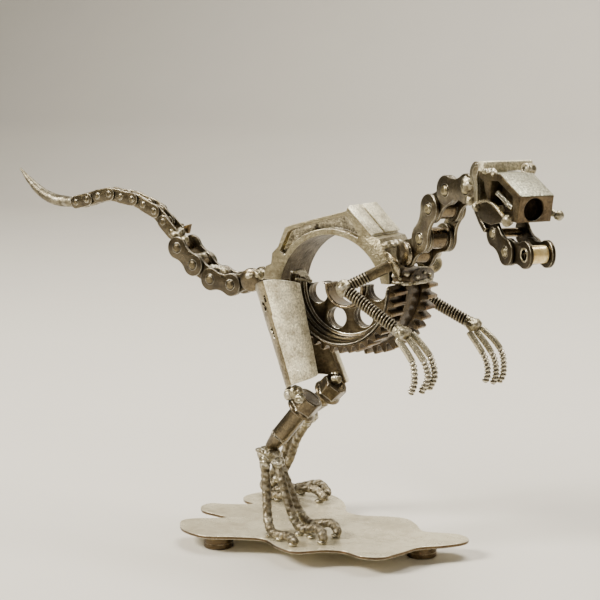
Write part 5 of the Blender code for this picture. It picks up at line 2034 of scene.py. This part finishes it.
@dataclass(frozen=True)
class Studio:
    """A plain pale floor, four soft lights and the camera at the photograph's angle, in metres."""

    azimuth: float = 33.0
    distance: float = 0.78
    height: float = 0.230
    target_height: float = 0.118
    lens: float = 96.0
    sensor: float = 36.0
    floor_half: float = 16.0
    floor_line: tuple[Flat, ...] = (
        (-16.0, 0.0), (1.4, 0.0), (2.0, 0.12), (2.35, 0.45), (2.45, 0.9), (2.45, 4.0))
    pale: Colour = (0.64, 0.61, 0.545)
    sky_low: Colour = (0.14, 0.122, 0.095)
    sky_high: Colour = (0.68, 0.655, 0.60)
    sky_seen: Colour = (1.40, 1.35, 1.24)
    sky_strength: float = 0.41
    lamps: tuple[Lamp, ...] = (
        Lamp("key_light", (-0.80, -0.95, 1.05), (0.50, 0.50), 47.0, (1.0, 0.945, 0.845)),
        Lamp("top_light", (0.05, 0.40, 1.30), (0.9, 0.7), 24.0, (1.0, 0.955, 0.87)),
        Lamp("fill_light", (1.30, -0.60, 0.55), (0.5, 0.9), 3.0, (1.0, 0.88, 0.72)),
        Lamp("backdrop_light", (0.0, 1.0, 1.9), (2.4, 0.6), 50.0, (1.0, 0.96, 0.89), (0.0, 2.4, 0.5)))

    def floor(self) -> None:
        """The floor, which curves up far behind the object."""
        cage = bmesh.new()
        rows = [[cage.verts.new((x, y, z)) for x in (-self.floor_half, self.floor_half)]
                for y, z in self.floor_line]
        for (a, b), (c, d) in zip(rows, rows[1:]):
            cage.faces.new((a, b, d, c))
        mesh = mesh_of(cage, "studio_floor")
        mesh.shade_smooth()
        material = bpy.data.materials.new("pale_floor")
        material.use_nodes = True
        w = Wiring(material.node_tree)
        cloud = w.cloud(w.lay("ShaderNodeTexCoord").outputs["Object"], 9.0, 6.0)
        w.feed(w.tree.nodes["Principled BSDF"], {
            "Base Color": w.mix(cloud, self.pale, tuple(c * 1.06 for c in self.pale)), "Roughness": 0.55})
        mesh.materials.append(material)
        ground = linked("studio_floor", mesh)

    def camera(self) -> None:
        """The camera."""
        turn = math.radians(self.azimuth)
        data = bpy.data.cameras.new("camera")
        data.lens = self.lens
        data.sensor_width = self.sensor
        place = Vector((self.distance * math.sin(turn), -self.distance * math.cos(turn), self.height))
        target = Vector((0.0, 0.0, self.target_height))
        bpy.context.scene.camera = aimed("camera", data, place + ROW_SHIFT, target + ROW_SHIFT)

    def surroundings(self) -> None:
        """The sky that the metal reflects, and the plain one that the camera sees."""
        world = bpy.data.worlds.new("studio")
        bpy.context.scene.world = world
        world.use_nodes = True
        w = Wiring(world.node_tree)
        place = w.lay("ShaderNodeTexCoord").outputs["Generated"]
        up = w.lay("ShaderNodeSeparateXYZ", {0: place}).outputs["Z"]
        sky = w.mix(w.spread(up, -0.1, 0.9), self.sky_low, self.sky_high)
        seen = w.lay("ShaderNodeLightPath").outputs["Is Camera Ray"]
        w.feed(w.tree.nodes["Background"], {"Color": w.mix(seen, sky, self.sky_seen),
                                            "Strength": self.sky_strength})

    def build(self) -> None:
        """Makes floor, lights, surroundings and camera."""
        self.floor()
        self.camera()
        for lamp in self.lamps:
            lamp.build()
        self.surroundings()


RIGHT_LEG = Leg(
    Side.RIGHT, (16.0, -24.3, 68.6), (0.0, -26.0, 49.0), (-0.6, -26.5, 45.4), (("right_outer_toe_bar",
    ((-0.4, -30.6, 42.4), (1.4, -32.0, 30.0), (5.6, -36.6, 15.5), (12.0, -41.2, 11.6), (21.5, -43.0, 12.0),
    (29.0, -48.0, 11.6))), ("right_middle_toe_bar", ((4.3, -27.5, 42.4), (9.2, -29.0, 32.0),
    (13.5, -29.0, 20.5), (19.0, -29.3, 12.6), (31.0, -32.0, 14.2), (38.6, -38.0, 11.6))),
    ("right_inner_toe_bar", ((1.6, -22.3, 42.6), (7.3, -22.0, 31.0), (12.5, -21.4, 19.5),
    (18.8, -20.0, 12.6), (30.5, -19.6, 14.2), (38.8, -25.4, 11.6)))), (0.2, -18.5, 127.4), 11.7,
    (-5.1, 5.4, 1.9), (17.0, -23.0, 81.0), 8.3, (-4.3, 1.1, 5.9), pits=((0.335, 0.17, 1.25),
    (0.35, 0.225, 0.95), (0.345, 0.44, 1.2), (0.365, 0.5, 0.85), (0.42, 0.09, 0.6)),
    knee_beads=(((15.4, -27.4, 78.2), (4.2, 3.4, 3.2)), ((19.0, -29.0, 75.4), (3.2, 2.4, 2.4)),
    ((11.4, -27.0, 76.6), (2.6, 2.6, 3.0))))
LEFT_LEG = Leg(
    Side.LEFT, (0.5, 24.0, 67.0), (-8.6, 24.8, 58.0), (-11.4, 24.2, 54.6), (("left_outer_toe_bar",
    ((-13.0, 28.6, 51.4), (-20.0, 29.2, 42.0), (-24.0, 29.2, 31.5), (-29.6, 29.8, 21.5),
    (-35.0, 30.2, 13.8), (-25.5, 32.5, 12.2), (-11.5, 36.0, 15.4), (-2.2, 31.8, 11.6))),
    ("left_middle_toe_bar", ((-14.8, 22.8, 52.2), (-21.2, 23.6, 42.0), (-25.4, 23.6, 31.5),
    (-31.6, 23.5, 21.5), (-38.0, 23.2, 13.6), (-28.0, 24.6, 12.2), (-10.0, 27.0, 15.0), (0.8, 23.2, 11.6))),
    ("left_inner_toe_bar", ((-9.0, 20.0, 51.4), (-14.8, 19.6, 42.0), (-18.2, 18.6, 32.0),
    (-24.0, 17.6, 21.5), (-31.5, 16.0, 13.8), (-24.0, 15.6, 12.0), (-14.5, 13.8, 13.2),
    (-7.6, 9.6, 11.6)))), (-17.5, 13.4, 127.5), 12.0, (-0.4, 0.0, 0.8), (1.8, 23.8, 77.0), 10.6,
    (-1.2, 0.0, -3.2), knee_beads=(((7.6, 22.0, 75.6), (3.0, 3.2, 2.4)), ((1.0, 31.4, 75.4),
    (3.4, 2.4, 2.4))))
RIGHT_ARM = Arm(
    Side.RIGHT, (62.4, -17.4, 141.6), (46.0, -34.0, 131.0), (74.6, -34.4, 114.4), (77.5, -34.4, 113.0),
    (("right_outer_finger", ((76.4, -37.8, 111.3), (82.4, -37.8, 103.9), (84.9, -37.8, 99.2),
    (85.4, -37.8, 92.0), (83.4, -37.8, 86.3))), ("right_middle_finger", ((80.0, -34.4, 111.2),
    (85.9, -34.4, 104.4), (89.1, -34.4, 99.6), (90.3, -34.4, 93.4), (86.9, -34.4, 86.8))),
    ("right_inner_finger", ((80.0, -31.0, 113.0), (86.9, -31.0, 106.4), (90.3, -31.0, 101.7),
    (91.9, -31.0, 94.6), (88.9, -31.0, 87.9)))))
LEFT_ARM = Arm(
    Side.LEFT, (62.4, 17.8, 139.4), (46.4, 33.4, 122.0), (75.4, 34.0, 109.2), (78.4, 34.0, 107.8),
    (("left_inner_finger", ((77.2, 30.8, 104.9), (83.6, 30.8, 96.9), (86.9, 30.8, 91.3), (87.8, 30.8, 84.9),
    (86.2, 30.8, 80.8))), ("left_middle_finger", ((79.3, 34.0, 105.2), (85.9, 34.0, 98.1),
    (89.8, 34.0, 91.8), (90.6, 34.0, 84.5), (88.7, 34.0, 79.8))), ("left_outer_finger",
    ((80.7, 37.2, 106.4), (88.4, 37.2, 100.2), (92.5, 37.2, 93.8), (93.0, 37.2, 85.0), (90.4, 37.2, 80.2)))))
LARGE_TAIL_CHAIN = RollerChain(
    12.7, 11.6, 8.6, 1.5, 7.6, 4.25, 2.1, 0.9, (-24.2, -1.0, 127.0), 180.0, (-15.0, 9.0, 31.0, 39.5),
    TAIL_CHAIN, DARK_PIN)
SMALL_TAIL_CHAIN = RollerChain(
    7.774, 7.0, 6.5, 0.9, 3.4, 2.3, 1.2, 0.0, (-75.5, -1.0, 147.5), 180.0,
    (43.0, 42.0, 23.0, 19.0, 7.0, 8.0, -10.0, -16.0, -13.0), pin_finish=DARK_PIN)
NECK_CHAIN = RollerChain(
    15.875, 13.4, 9.4, 1.7, 9.0, 5.0, 2.4, 1.0, (68.0, -4.2, 146.0), -28.0, (31.0, 64.0, 35.0, 6.0))
# The jaw's plates are painted dark as the snout's shadow.
JAW_CHAIN = RollerChain(
    12.7, 11.6, 8.8, 1.5, 8.8, 2.9, 2.0, 0.9, (30.2, 0.0, -16.2), -5.0, (-33.0, 0.0), SHADOWED_CHAIN)


def main() -> None:
    """Builds the sculpture and the studio around it."""
    logging.basicConfig(level=logging.INFO, format="%(message)s")
    builders = (Plinth(), RIGHT_LEG, LEFT_LEG, BearingCap(), Belly(),
                Tail(LARGE_TAIL_CHAIN, SMALL_TAIL_CHAIN), Neck(NECK_CHAIN), Head(JAW_CHAIN),
                RIGHT_ARM, LEFT_ARM, Studio())
    for builder in builders:
        log.info("building %s", type(builder).__name__)
        builder.build()


if __name__ == "__main__":
    main()
